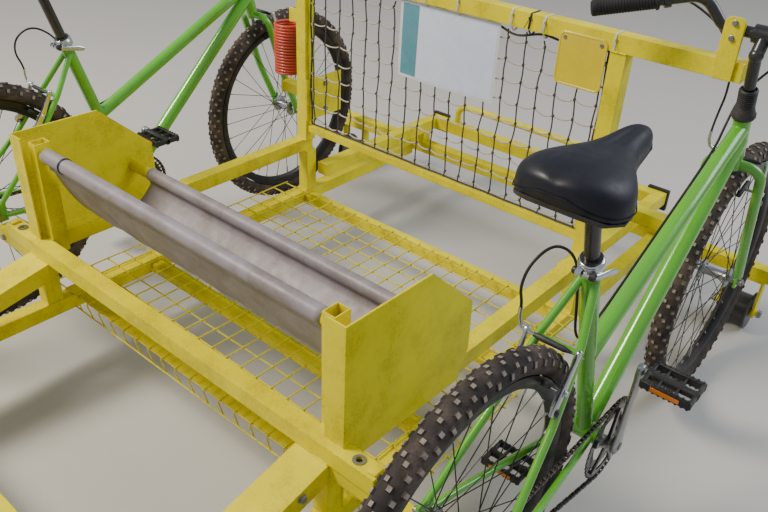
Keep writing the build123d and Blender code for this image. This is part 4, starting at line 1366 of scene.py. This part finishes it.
@dataclass
class FloorMesh:
    """The welded wire floor, its rear edge folded down."""

    wire: float = 2.0
    pitch: float = 50.8
    left: float = -546.0
    rear: float = 50.0
    long_wires: int = 23
    cross_wires: int = 17
    beam_x: float = 483.0
    beam_half: float = 23.0
    overhang: float = 6.0
    waver: float = 0.7
    # the y and z of a long wire's folded end, and of its bend on top
    fold: tuple = ((54.0, 134.0), (47.5, 163.0), (43.8, 178.0), (44.2, 182.6))
    bend: Pair = (46.0, 183.8)

    def build(self) -> None:
        """Makes the wires in place of the plain square ones."""
        shaper = Shaper("welded_wire_floor", [Finish.YELLOW])
        draw = random.Random(5)
        right = self.left + self.pitch * (self.long_wires - 1)
        front = self.rear + self.pitch * (self.cross_wires - 1)
        for i in range(self.cross_wires):
            y = self.rear + self.pitch * i
            path = [(x, y + draw.uniform(-self.waver, self.waver), 180.2)
                    for x in evenly(self.left - self.overhang, right + self.overhang, 24)]
            shaper.tube(spots(path), self.wire * MM, 8)
        for i in range(self.long_wires):
            x = self.left + self.pitch * i
            over_beam = abs(abs(x) - self.beam_x) < self.beam_half
            path = [] if over_beam else [(x, *point) for point in self.fold]
            path.append((x, *self.bend))
            path += [(x + draw.uniform(-self.waver, self.waver), y, 184.0)
                     for y in evenly(self.rear, front + self.overhang, 20)]
            shaper.tube(spots(path), self.wire * MM, 8)
            for j in range(self.cross_wires):
                weld, nugget = spot(x, self.rear + self.pitch * j, 182.0), Vector((2.6, 2.6, 1.5)) * MM
                shaper.block(weld - nugget, weld + nugget, 1.2 * MM)
        low = [(x, 49.4, 141.0) for x in (-463.7, -200.0, 90.0, 463.7)]
        shaper.tube(spots(low), self.wire * MM, 8)
        piece = shaper.build()
        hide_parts("floor_cross_wires", "floor_long_wires")


@dataclass
class FloorBars:
    """The floor's cross bars: a flat one under the mesh's fold, and three square tubes."""

    half: float = 464.0
    tubes: tuple[float, ...] = (300.0, 600.0, 886.0)
    wide: float = 19.0
    low: float = 140.0
    top: float = 168.0

    def build(self) -> None:
        """Makes the bars in place of the plain ones."""
        shaper = Shaper("floor_bars_with_flat_rear_bar", [Finish.YELLOW])
        shaper.block(spot(-self.half, 60, self.top - 6), spot(self.half, 90, self.top), 0.8 * MM)
        for y in self.tubes:
            low, high = spot(-self.half, y - self.wide, self.low), spot(self.half, y + self.wide, self.top)
            shaper.block(low, high, 2.0 * MM)
        piece = shaper.build()
        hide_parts("floor_cross_bars")


@dataclass
class BarrierNet:
    """The square-mesh net laced between the posts: dark uprights, paler level cords, knots and edge ropes."""

    half: float = 464.5
    foot: float = 402.0
    head: float = 853.0
    cell: float = 50.0
    cord: float = 2.0
    y: float = 896.4
    knot: tuple = ((0, 0.01), (0.8, 2.6), (3, 3.8), (5.2, 3.8), (7.6, 2.6), (8.4, 0.01))

    def build(self) -> None:
        """Makes the net in place of the plain sheet."""
        shaper = Shaper("knotted_barrier_net", [Finish.ROPE_DARK, Finish.ROPE_PALE])
        draw = random.Random(23)
        columns = [-450 + self.cell * i for i in range(19)]
        levels = [self.foot + 18 + self.cell * i for i in range(9)]
        knots = {}
        for x in columns:
            for z in levels:
                aside, down, out = draw.uniform(-4, 4), draw.uniform(-5, 3), draw.uniform(-0.6, 1.4)
                knots[x, z] = (x + aside, self.y + out, z + down)
        for x in columns:
            path = [(x + draw.uniform(-3, 3), self.y, self.foot + 1)]
            path += [knots[x, z] for z in levels]
            path += [(x + draw.uniform(-3, 3), self.y, self.head - 5 - draw.uniform(0, 14))]
            self.add_cord(shaper, path, 0.0, 0, draw)
        for z in levels:
            row = [(-self.half + 3, self.y, z + draw.uniform(-6, 6))]
            row += [knots[x, z] for x in columns]
            row += [(self.half - 3, self.y, z + draw.uniform(-6, 6))]
            self.add_cord(shaper, row, 6.0, 1, draw)
        for x, y, z in knots.values():
            lean = Vector((draw.uniform(-0.3, 0.3), 0, 1)).normalized()
            shaper.lathe(spot(x, y, z - 4.2), self.knot, turns=8, slot=0, closed=False, axis=lean)
        head = []
        for x in evenly(-self.half + 5, self.half - 5, 90):
            scallop = 9 * (1 - cos(TURN * x / 150)) * (0.6 + 0.4 * sin(x / 97))
            head.append((x, self.y + 1, self.head - 5 - scallop))
        shaper.tube(spots(head), 2.9 * MM, 8, 0)
        for sign in SIGNS:
            edge = [(sign * (self.half - 4 - 2 * sin(z / 31)), self.y + 1, z)
                    for z in evenly(self.foot + 4, self.head - 8, 40)]
            shaper.tube(spots(edge), 2.6 * MM, 8, 0)
        base = [(x, self.y + 1 + 0.8 * sin(x / 23), self.foot + 3.4)
                for x in evenly(-self.half + 5, self.half - 5, 70)]
        shaper.tube(spots(base), 2.6 * MM, 8, 0)
        piece = shaper.build()
        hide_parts("barrier_net")

    def add_cord(self, shaper: Shaper, knots: list[tuple], sag: float, slot: int,
                 draw: random.Random) -> None:
        """Adds one cord through its knots, slack between them.

        Args:
            shaper: the net's faces.
            knots: the places it passes.
            sag: how far it hangs between two of them, in mm.
            slot: which finish.
            draw: the seeded numbers.
        """
        path = []
        for before, after in zip(knots, knots[1:]):
            fall = sag * draw.uniform(0.7, 1.4)
            bow = draw.uniform(-2.0, 2.0)
            for k in range(6):
                t = k / 6
                arch = 4 * t * (1 - t)
                point = [a + (b - a) * t for a, b in zip(before, after)]
                shift = (0.0 if sag else bow * arch, 0.0, -fall * arch if sag else 0.0)
                path.append(spot(*(p + s for p, s in zip(point, shift))))
        path.append(spot(*knots[-1]))
        shaper.tube(path, self.cord * MM, 6, slot)


@dataclass
class BenchSling:
    """The hanging tarpaulin seat, sewn round both bench bars."""

    half: float = 439.0
    rear_bar: Pair = (38.0, 575.0)
    front_bar: Pair = (300.0, 440.0)
    sleeve: float = 16.4
    seam_drop: float = 25.0
    rear_shift: float = 4.0
    front_shift: float = -6.0
    arc: float = 372.0
    columns: int = 60
    rows: int = 26
    thick: float = 1.3

    def build(self) -> None:
        """Makes the seat in place of the plain sheet."""
        rear = (self.rear_bar[0] + self.rear_shift, self.rear_bar[1] - self.seam_drop)
        front = (self.front_bar[0] + self.front_shift, self.front_bar[1] - self.seam_drop)
        xs = evenly(-self.half, self.half, self.columns)
        line = self.hanging(rear, front)
        sheet = [[spot(x, y, z) for y, z in line] for x in xs]
        sheet = self.settle(sheet)
        self.crease(sheet)
        first = self.loop(self.rear_bar, rear, 1)
        last = self.loop(self.front_bar, front, -1)
        full = [spots((x, *p) for p in first) + column + spots((x, *p) for p in last[::-1])
                for column, x in zip(sheet, xs)]
        shaper = Shaper("tarpaulin_bench_sling", [Finish.TARPAULIN])
        shaper.add(*self.grid(full))
        piece = shaper.build(180)
        self.hem_seam_and_shadow_line(xs)
        shell = piece.modifiers.new("cloth_thickness", "SOLIDIFY")
        shell.thickness = self.thick * MM
        shell.offset = 0.0
        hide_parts("bench_sling")

    def grid(self, columns: list[Path]) -> tuple[Path, list[tuple[int, ...]]]:
        """The points of a row of columns, and the faces between them."""
        count = len(columns[0])
        return [point for column in columns for point in column], [
            (i * count + j, i * count + j + 1, (i + 1) * count + j + 1, (i + 1) * count + j)
            for i in range(len(columns) - 1) for j in range(count - 1)]

    def hem_seam_and_shadow_line(self, xs: list[float]) -> None:
        """Makes the doubled hem along each sleeve and the seam's dark thread line below it, which is partly
        the real seam and partly a painted shadow line under the sleeve.

        Args:
            xs: the cloth's columns.
        """
        shaper = Shaper("bench_sleeve_hems_and_shadow_lines", [Finish.TARPAULIN, Finish.ROPE_DARK])
        bars = ((self.rear_bar, self.rear_shift, -1), (self.front_bar, self.front_shift, 1))
        for bar, shift, facing in bars:
            # the second run is the seam's dark thread: partly the real seam, partly a painted shadow line
            # under the sleeve
            for lift, out, radius, slot in ((4.5, 3.4, 1.3, 0), (1.0, 3.1, 0.6, 1)):
                y, z = bar[0] + shift + facing * out, bar[1] - (self.seam_drop - lift)
                shaper.tube(spots((x, y, z) for x in xs[1:-1]), radius * MM, 6, slot)
        shaper.build()

    def hanging(self, rear: Pair, front: Pair) -> list[Pair]:
        """The line that a slack cloth takes between the two seams.

        Args:
            rear: the rear seam as (y, z).
            front: the front seam.

        Returns:
            Points from the rear seam to the front one, whose length is the arc's.
        """
        low, high = 20.0, 320.0
        line: list[Pair] = []
        for _ in range(30):
            sag = (low + high) / 2
            line = []
            for t in evenly(0, 1, self.rows):
                y = rear[0] + (front[0] - rear[0]) * t ** 1.12
                z = rear[1] + (front[1] - rear[1]) * t - sag * (4 * t * (1 - t)) ** 0.82
                line.append((y, z))
            length = sum(math.dist(a, b) for a, b in zip(line, line[1:]))
            low, high = (sag, high) if length < self.arc else (low, sag)
        even = spaced([Vector((0, y, z)) for y, z in line], self.rows + 1)
        return [(p.y, p.z) for p in even]

    def loop(self, bar: Pair, seam: Pair, facing: int) -> list[Pair]:
        """The teardrop that the cloth makes round a bar, from the seam round to the seam again.

        Args:
            bar: the bar's middle as (y, z).
            seam: the seam below it.
            facing: 1 where the seat hangs off the bar's front side, -1 where off its rear.

        Returns:
            The loop's points, with its last one just above where the seat's own cloth starts.
        """
        points = [(seam[0] - facing * 2.2, seam[1] - 9.0), (seam[0] - facing * 2.4, seam[1])]
        for angle in evenly(radians(-150), radians(150), 16):
            out, rise = self.sleeve * sin(angle), self.sleeve * cos(angle)
            points.append((bar[0] + facing * out, bar[1] + rise))
        return points

    def settle(self, sheet: list[Path]) -> list[Path]:
        """Lets the cloth hang between its seams.

        Args:
            sheet: the starting columns of points.

        Returns:
            The columns after the cloth has come to rest.
        """
        count = len(sheet[0])
        points, faces = self.grid(sheet)
        mesh = bpy.data.meshes.new("hanging_cloth")
        mesh.from_pydata([tuple(p) for p in points], [], faces)
        cloth = add_object("hanging_cloth", mesh)
        sewn = cloth.vertex_groups.new(name="sewn")
        sewn.add([i * count + j for i in range(len(sheet)) for j in (0, count - 1)], 1.0, "REPLACE")
        cloth_modifier = cloth.modifiers.new("cloth", "CLOTH")
        for setting, value in (("quality", 8), ("mass", 0.65), ("tension_stiffness", 60),
                               ("compression_stiffness", 40), ("shear_stiffness", 25),
                               ("bending_stiffness", 6), ("air_damping", 4), ("vertex_group_mass", "sewn")):
            setattr(cloth_modifier.settings, setting, value)
        cloth_modifier.point_cache.frame_start = 1
        cloth_modifier.point_cache.frame_end = 40
        scene = bpy.context.scene
        for frame_number in range(1, 36):
            scene.frame_set(frame_number)
        settled = cloth.evaluated_get(bpy.context.evaluated_depsgraph_get())
        rested = [vertex.co.copy() for vertex in settled.data.vertices]
        bpy.data.objects.remove(cloth)
        scene.frame_set(1)
        moved = max((a - b).length for a, b in zip(rested, points)) / MM
        LOG.info("bench cloth moved by up to %.1f mm", moved)
        return [rested[i * count:(i + 1) * count] for i in range(len(sheet))]

    def crease(self, sheet: list[Path]) -> None:
        """Adds the soft drag folds that run down from the seams.

        Args:
            sheet: the columns of points, changed in place.
        """
        last = len(sheet[0]) - 1
        for i, column in enumerate(sheet):
            u = i / self.columns
            for j in range(1, last):
                t = j / last
                fold = 1.3 * sin(41 * u + 2.2 * t) + 0.9 * sin(97 * u - 3.1 * t + 1)
                fade = sin(pi * t) ** 0.6 * (0.45 + 0.55 * sin(7.3 * u + 0.8) ** 2)
                before, after = column[j - 1], column[j + 1]
                along = after - before
                normal = Vector((0, -along.z, along.y)).normalized()
                column[j] = column[j] + normal * fold * fade * MM


@dataclass
class RedCoil:
    """The coated wire coil beside the left post."""

    x: float = -554.8
    y: float = 899.0
    low: float = 544.5
    high: float = 695.5
    radius: float = 43.6
    wire: float = 4.2
    turns: float = 17.0

    def build(self) -> None:
        """Makes the helix and the hook at its top end in place of the ringed solid."""
        shaper = Shaper("coated_wire_coil", [Finish.COIL])
        steps = int(self.turns * 28)
        path = []
        for t in evenly(0, 1, steps):
            angle = TURN * self.turns * t
            drift = 1.1 * sin(9 * t)
            path.append(spot(self.x + drift + self.radius * cos(angle),
                             self.y + self.radius * sin(angle), self.low + (self.high - self.low) * t))
        hook = [spot(self.x + self.radius, self.y, self.high),
                spot(self.x + self.radius - 8, self.y - 2, self.high + 6),
                spot(self.x + 20, self.y - 4, self.high + 9)]
        shaper.tube(path, self.wire * MM, 10)
        shaper.tube(rounded(hook, 6 * MM), self.wire * MM * 0.9, 10)
        piece = shaper.build()
        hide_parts("red_coil")


@dataclass
class CableTies:
    """Nylon ties: round the top rail, where the net's head rope hangs, and one on the bench's rear bar."""

    rail_y: Pair = (880.0, 918.0)
    rail_z: Pair = (855.0, 893.0)
    gap: float = 0.8
    half_width: float = 2.3
    places: tuple = ((-330.0, Finish.CLEAR_TIE), (-180.0, Finish.BLACK_PLASTIC), (-40.0, Finish.CLEAR_TIE),
                     (60.0, Finish.CLEAR_TIE), (215.0, Finish.CLEAR_TIE), (262.0, Finish.BLACK_PLASTIC),
                     (300.0, Finish.CLEAR_TIE), (476.0, Finish.CLEAR_TIE))

    def build(self) -> None:
        """Makes every tie."""
        shaper = Shaper("cable_ties", [Finish.CLEAR_TIE, Finish.BLACK_PLASTIC])
        draw = random.Random(31)
        y0, y1 = self.rail_y[0] - self.gap, self.rail_y[1] + self.gap
        z0, z1 = self.rail_z[0] - self.gap, self.rail_z[1] + self.gap
        corner = Vector((3, 2.2, 3)) * MM
        for x, finish in self.places:
            skew = draw.uniform(-3, 3)
            slot = 0 if finish is Finish.CLEAR_TIE else 1
            corners = [(x, y0, z0 + 4), (x + skew, y0, z1), (x + skew, y1, z1), (x, y1, z0 - 2),
                       (x, 899.0, z0 - 13), (x, 893.0, z0 - 13), (x, y0, z0 + 4)]
            self.add_strap(shaper, rounded(spots(corners), 3 * MM, 3)[:-1], 0.6, slot)
            head = spot(x + skew / 2, y0 - 2.2, z1 - 11)
            shaper.block(head - corner, head + corner, 0.8 * MM, slot)
            middle = head + Vector((draw.uniform(-3, 3), -5, -9)) * MM
            tip = head + Vector((draw.uniform(-7, 7), -9, -22)) * MM
            shaper.tube([head, middle, tip], 0.9 * MM, 6, slot)
        bar = [(-362.0, 38 + 18.2 * sin(a), 575 + 18.2 * cos(a)) for a in angles(28)]
        self.add_strap(shaper, spots(bar), 0.7, 1)
        piece = shaper.build()

    def add_strap(self, shaper: Shaper, path: Path, thick: float, slot: int) -> None:
        """Adds a flat closed band whose width lies along X.

        Args:
            shaper: the ties' faces.
            path: points along its middle.
            thick: half its thickness in mm.
            slot: which finish.
        """
        loops = []
        for i, point in enumerate(path):
            along = path[(i + 1) % len(path)] - path[i - 1]
            out = Vector((0, along.z, -along.y)).normalized()
            loops.append([point + (RIGHT * a * self.half_width + out * b * thick) * MM
                          for a, b in ((-1, -1), (1, -1), (1, 1), (-1, 1))])
        shaper.loft(loops, slot, closed=True)


@dataclass
class Welds:
    """Weld beads along the joints of the square tubes."""

    bead: float = 2.6
    ripple: float = 3.2
    runs: tuple = (
        # x0, y0, z0, x1, y1, z1 on the right side; each run also has its mirror image
        (478.5, 19, 350.2, 516.5, 19, 350.2), (478.3, 19, 314, 478.3, 19, 349),
        (516.7, 19, 314, 516.7, 19, 349),
        (464, 19, 318, 464, 19, 178), (502, 19.2, 312, 502, 19.2, 180), (464, 19.2, 178.4, 502, 19.2, 178.4),
        (464, -19.2, 178.4, 502, -19.2, 178.4), (463.8, -18, 178.4, 463.8, 18, 178.4),
        (502.2, -18, 178.4, 502.2, 18, 178.4),
        (464, -19.3, 317.6, 502, -19.3, 317.6), (516.6, 40, 350, 516.6, 320, 350),
        (478.3, 20, 350.3, 478.3, 56, 350.3), (449, 18.6, 357, 477, 18.6, 357),
        (468.5, 879.8, 350.3, 506.5, 879.8, 350.3),
        (468.3, 881, 350.3, 468.3, 917, 350.3), (506.7, 881, 350.3, 506.7, 917, 350.3),
        (468.5, 879.8, 854.8, 506.5, 879.8, 854.8), (468.3, 881, 854.8, 468.3, 917, 854.8),
        (506.7, 881, 854.8, 506.7, 917, 854.8), (468.3, 887, 400.2, 468.3, 905, 400.2),
        (463.8, 268, 177.8, 463.8, 292, 177.8), (463.8, 553, 177.8, 463.8, 577, 177.8),
        (463.8, 833, 177.8, 463.8, 857, 177.8), (464, 880.2, 178.4, 502, 880.2, 178.4),
        (463.8, 881, 178.4, 463.8, 917, 178.4), (502.2, 881, 178.4, 502.2, 917, 178.4),
        (417.3, 1491.6, 270.2, 454.8, 1491.6, 270.2), (417.3, 918.4, 270.2, 454.8, 918.4, 270.2),
        (417, 1421.8, 195.4, 455, 1421.8, 195.4), (417, 1460.2, 195.4, 455, 1460.2, 195.4),
        (690, 879.8, 893.3, 730, 879.8, 893.3),
        (464.2, -411, 195.3, 502, -411, 195.3), (464.2, -392, 195.3, 464.2, -411, 195.3),
    )
    # x, y and z of the bench bars' ends, each welded all round
    rounds: tuple = ((448.3, 38.0, 575.0), (516.2, 300.0, 440.0))
    round_radius: float = 15.5

    def build(self) -> None:
        """Makes every bead, each a lumpy run with its own ripples."""
        shaper = Shaper("weld_beads", [Finish.YELLOW])
        draw = random.Random(47)
        for x0, y0, z0, x1, y1, z1 in self.runs:
            for sign in SIGNS:
                start, end = spot(sign * x0, y0, z0), spot(sign * x1, y1, z1)
                steps = max(int((end - start).length / MM / self.ripple) * 2, 4)
                path, radii = [], []
                for k in range(steps + 1):
                    shake = Vector([draw.uniform(-0.25, 0.25) for _ in range(3)]) * MM
                    path.append(start.lerp(end, k / steps) + shake)
                    swell = 1.0 if k % 2 else 0.8
                    fade = 0.45 if k in (0, steps) else 1.0
                    radii.append(self.bead * MM * swell * fade * draw.uniform(0.88, 1.1))
                shaper.tube(path, radii, 8)
        radius, steps = self.round_radius, 36
        for sign in SIGNS:
            for x, y, z in self.rounds:
                path = [spot(sign * (x - 0.6), y + radius * cos(a), z + radius * sin(a))
                        for a in angles(steps)]
                shaper.tube(path, [1.7 * MM * (1.0 if k % 2 else 0.8) for k in range(steps)], 8, closed=True)
        piece = shaper.build(60)


@dataclass
class Bolts:
    """Hexagon bolts, screws and U-bolts of the welded frame."""

    heads: tuple = (
        # x, y, z, the way the head points, thread size
        (464.3, 960, 440, (-1, 0, 0), 9), (464.3, 960, 520, (-1, 0, 0), 9),
        (503.2, -84, 290, (1, 0, 0), 9), (503.2, -300, 234, (1, 0, 0), 9),
        (425, 1544.2, 246, (0, 1, 0), 7), (425, 1544.2, 232, (0, 1, 0), 7),
        (640, -16.2, 302, (0, -1, 0), 8),
    )
    eyelets_x: Pair = (360.0, 446.0)
    tab_x: float = 710.0
    roller_y: Pair = (-411.0, 1441.0)
    roller_z: float = 46.0
    bracket_half: float = 61.0
    # the handlebar's place as (y, z), the U-bolt's own radius, and how far back its legs reach
    bar: Pair = (891.7, 952.0)
    bend: float = 14.6
    leg_end: float = 868.0

    def build(self) -> None:
        """Makes the bolts on both sides."""
        shaper = Shaper("frame_bolts", [Finish.ZINC, Finish.YELLOW])
        for x, y, z, way, size in self.heads:
            for sign in SIGNS:
                shaper.bolt(spot(sign * x, y, z), Vector((sign * way[0], way[1], way[2])), size * MM, 0)
        for x in self.eyelets_x:
            shaper.bolt(spot(x, 884.0, 842.0), Vector((0, -1, 0)), 4.5 * MM, 0)
        for sign in SIGNS:
            self.add_bar_clamp(shaper, sign * self.tab_x)
            for end in self.roller_y:
                for face in SIGNS:
                    foot = spot(sign * BIKE_X["right"] + face * self.bracket_half, end, self.roller_z)
                    shaper.bolt(foot, Vector((face, 0, 0)), 13 * MM, 0)
        piece = shaper.build(35)

    def add_bar_clamp(self, shaper: Shaper, x: float) -> None:
        """Adds the U-bolt that ties the handlebar to its tab.

        Args:
            shaper: the bolts' faces.
            x: the tab's middle.
        """
        (y, z), reach = self.bar, self.bend
        curve = [(y + reach * sin(a), z - reach * cos(a)) for a in evenly(0, pi, 12)]
        path = [(self.leg_end, z - reach), *curve, (self.leg_end, z + reach)]
        shaper.tube([spot(x, *p) for p in path], 2.9 * MM, 10, 0)
        for level in (z - reach, z + reach):
            shaper.bolt(spot(x, 874.0, level), Vector((0, -1, 0)), 6 * MM, 0)


def rounded_plate(sides: tuple[float, ...], radii: Pair, inset: float, y: float) -> Path:
    """The outline of an upright plate with rounded corners.

    Args:
        sides: its left, right, low and high side, in mm.
        radii: the radius of its upper and of its lower corners.
        inset: how far the outline is drawn in.
        y: its depth.

    Returns:
        The outline's points.
    """
    left, right, low, high = sides
    loop = []
    for x, z, start in ((right, high, 0), (left, high, 90), (left, low, 180), (right, low, 270)):
        radius = radii[0 if z == high else 1] - inset * 0.6
        middle_x = x + (-1 if x == right else 1) * (inset + radius)
        middle_z = z + (-1 if z == high else 1) * (inset + radius)
        for k in range(7):
            turn = radians(start + 15 * k)
            loop.append(spot(middle_x + radius * cos(turn), y, middle_z + radius * sin(turn)))
    return loop


@dataclass
class HandlebarTabs:
    """The two tabs on the top rail that hold the handlebars, their tops rounded."""

    middle_x: float = 710.0
    half: float = 20.0
    low: float = 855.0
    high: float = 978.0

    def build(self) -> None:
        """Makes both tabs in place of the plain ones."""
        shaper = Shaper("rounded_handlebar_tabs", [Finish.YELLOW])
        for sign in SIGNS:
            sides = (sign * self.middle_x - self.half, sign * self.middle_x + self.half, self.low, self.high)
            levels = ((1.0, 880.0), (0.0, 879.0), (0.0, 875.0), (1.0, 874.0))
            shaper.loft([rounded_plate(sides, (13.0, 2.0), *level) for level in levels])
        piece = shaper.build()
        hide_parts("handlebar_tabs")


@dataclass
class NumberPlate:
    """The blank pressed plate: rounded corners, a raised rim, two eyelets."""

    left: float = 344.0
    right: float = 462.0
    low: float = 755.0
    high: float = 875.0
    y: float = 879.0
    corner: float = 14.0

    def build(self) -> None:
        """Makes the plate in place of the plain one."""
        shaper = Shaper("blank_number_plate", [Finish.PLATE, Finish.ZINC])
        plate = (self.left, self.right, self.low, self.high)
        shaper.loft([rounded_plate(plate, (self.corner, self.corner), inset, self.y + depth)
                     for inset, depth in ((0.0, 0.9), (0.0, -0.6), (1.2, -1.3), (4.0, -1.3), (5.2, -0.5))])
        eyelet = [(0, 0.01), (0, 5), (1.4, 4.4), (1.4, 2.2), (0.6, 0.01)]
        for x in (self.left + self.corner, self.right - self.corner):
            place = spot(x, self.y - 0.4, self.high - self.corner)
            shaper.lathe(place, eyelet, turns=20, slot=1, closed=False, axis=Vector((0, -1, 0)))
        piece = shaper.build(12)
        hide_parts("number_plate")


@dataclass
class CoverSheet:
    """The printed sheet in its clear pouch, left blank apart from a plain colour band."""

    left: float = -125.0
    right: float = 182.0
    low: float = 650.0
    high: float = 851.0
    y: float = 890.6

    def build(self) -> None:
        """Makes the sheet, a little bowed, and its pouch's welded rim."""
        shaper = Shaper("blank_notice_in_pouch", [Finish.PAPER, Finish.PAPER_BAND, Finish.POUCH])
        columns, rows = 24, 14

        def bow(u: float, v: float, depth: float) -> Vector:
            """A point of the bowed sheet at shares of its width and height."""
            curl = 2.6 * sin(pi * u) * (1 - v) + 1.2 * sin(5 * u + 3 * v) * (1 - v)
            x, z = self.left + (self.right - self.left) * u, self.low + (self.high - self.low) * v
            return spot(x, self.y - curl - depth, z)

        def patch(u0: float, u1: float, v0: float, v1: float, depth: float, slot: int) -> None:
            """Adds a closed thin sheet between shares of the width and the height."""
            front, back = [], []
            for v in evenly(v0, v1, rows):
                for u in evenly(u0, u1, columns):
                    front.append(bow(u, v, depth + 0.3))
                    back.append(bow(u, v, depth))
            count, wide = len(front), columns + 1
            faces = []
            for j in range(rows):
                for i in range(columns):
                    a = j * wide + i
                    faces.append((a, a + 1, a + wide + 1, a + wide))
                    faces.append((count + a, count + a + wide, count + a + wide + 1, count + a + 1))
            rim = list(range(wide)) + [wide * (j + 1) - 1 for j in range(1, rows + 1)]
            rim += [wide * rows + i for i in range(columns - 1, -1, -1)]
            rim += [wide * j for j in range(rows - 1, 0, -1)]
            faces += [(a, count + a, count + b, b) for a, b in zip(rim, rim[1:] + rim[:1])]
            shaper.add(front + back, faces, slot)

        patch(0.0, 1.0, 0.0, 1.0, 0.0, 2)
        patch(0.022, 0.978, 0.03, 0.97, 0.35, 0)
        patch(0.03, 0.2, 0.04, 0.96, 0.7, 1)
        piece = shaper.build(40)
        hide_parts("notice_sheet")


@dataclass
class StudioPicture:
    """The camera at the photograph's angle, the floor and the soft lights."""

    place: Vector
    yaw: float
    pitch: float
    roll: float
    focal_px: float
    floor_half: float = 14.0
    sky: str = "E6ECF5"
    sky_strength: float = 0.5
    lamps: tuple = (
        # name, place, aim, size, power, colour
        ("key_softbox", Vector((-2.6, -2.4, 4.2)), Vector((0, 0, 0.3)), 1.5, 330.0, "FFF4E2"),
        ("rim_softbox", Vector((2.8, 2.6, 3.4)), Vector((0, 0, 0.4)), 2.6, 120.0, "EEF4FF"),
    )

    def camera(self) -> None:
        """Makes the camera."""
        forward = Vector((-sin(self.yaw) * cos(self.pitch),
                          cos(self.yaw) * cos(self.pitch), -sin(self.pitch)))
        level = Vector((cos(self.yaw), sin(self.yaw), 0))
        down = forward.cross(level)
        right = level * cos(self.roll) + down * sin(self.roll)
        fall = down * cos(self.roll) - level * sin(self.roll)
        data = bpy.data.cameras.new("picture_camera")
        data.sensor_width = 36.0
        data.lens = self.focal_px / PHOTO_WIDTH * data.sensor_width
        data.clip_start = 0.02
        camera = add_object("picture_camera", data)
        frame = Matrix((right, -fall, -forward)).transposed().to_4x4()
        frame.translation = self.place
        camera.matrix_world = frame
        bpy.context.scene.camera = camera

    def floor(self) -> None:
        """Makes the pale floor under the rollers."""
        mesh = bpy.data.meshes.new("studio_floor")
        half = self.floor_half
        corners = [(-half, -half, 0), (half, -half, 0), (half, half, 0), (-half, half, 0)]
        mesh.from_pydata(corners, [], [(0, 1, 2, 3)])
        mesh.materials.append(material(Finish.FLOOR))
        add_object("studio_floor", mesh)

    def lights(self) -> None:
        """Makes an even sky and two broad lamps."""
        world = bpy.data.worlds.new("soft_sky")
        world.use_nodes = True
        sky = world.node_tree.nodes["Background"]
        sky.inputs["Color"].default_value = srgb(self.sky)
        sky.inputs["Strength"].default_value = self.sky_strength
        bpy.context.scene.world = world
        for name, place, aim, size, power, colour in self.lamps:
            data = bpy.data.lights.new(name, "AREA")
            data.size = size
            data.energy = power
            data.color = srgb(colour)[:3]
            lamp = add_object(name, data)
            lamp.location = place
            lamp.rotation_mode = "QUATERNION"
            lamp.rotation_quaternion = (aim - place).to_track_quat("-Z", "Y")


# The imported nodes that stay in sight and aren't of welded yellow steel
NODE_FINISHES = {
    Finish.GREEN: ("right_bike_frame", "left_bike_frame", "forks"),
    Finish.BLACK_LACQUER: ("handlebars", "seat_posts"),
    Finish.BLACK_PLASTIC: ("bumper_caps",),
    Finish.ROLLER: ("right_front_roller", "right_rear_roller", "left_front_roller", "left_rear_roller"),
    Finish.ZINC: ("axles",),
}


def dress_nodes(nodes: dict[str, bpy.types.Object]) -> None:
    """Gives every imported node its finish: welded yellow steel, unless the table names another.

    Args:
        nodes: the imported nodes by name.
    """
    named = {node: finish for finish, group in NODE_FINISHES.items() for node in group}
    for name, node in nodes.items():
        node.data.materials.clear()
        node.data.materials.append(material(named.get(name, Finish.YELLOW)))


def main() -> None:
    """Builds the whole scene."""
    logging.basicConfig(level=logging.INFO, format="%(name)s %(message)s")
    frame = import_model()
    dress_nodes(frame["nodes"])
    for side in ("right", "left"):
        for end in ("front", "rear"):
            Tyre(f"{side}_{end}_tyre", f"{side}_{end}_wheel").build()
            Wheel(side, end).build()
        Crankset(side).build()
        for hand, sign in (("right", 1), ("left", -1)):
            Pedal(side, hand).build()
            Grip(side, sign).build()
        for kind in (Saddle, SeatClamp, Brakes, StemBoot):
            kind(side).build()
    for kind in (Chain, FloorMesh, FloorBars, BarrierNet, BenchSling, RedCoil, CableTies, Welds, Bolts,
                 SmallSteel, HandlebarTabs, NumberPlate, CoverSheet):
        kind().build()
    picture = StudioPicture(Vector((1.1781, -1.2594, 1.3657)), 0.6852, 0.5545, -0.0508, 789.25)
    picture.camera()
    picture.floor()
    picture.lights()


if __name__ == "__main__":
    main()
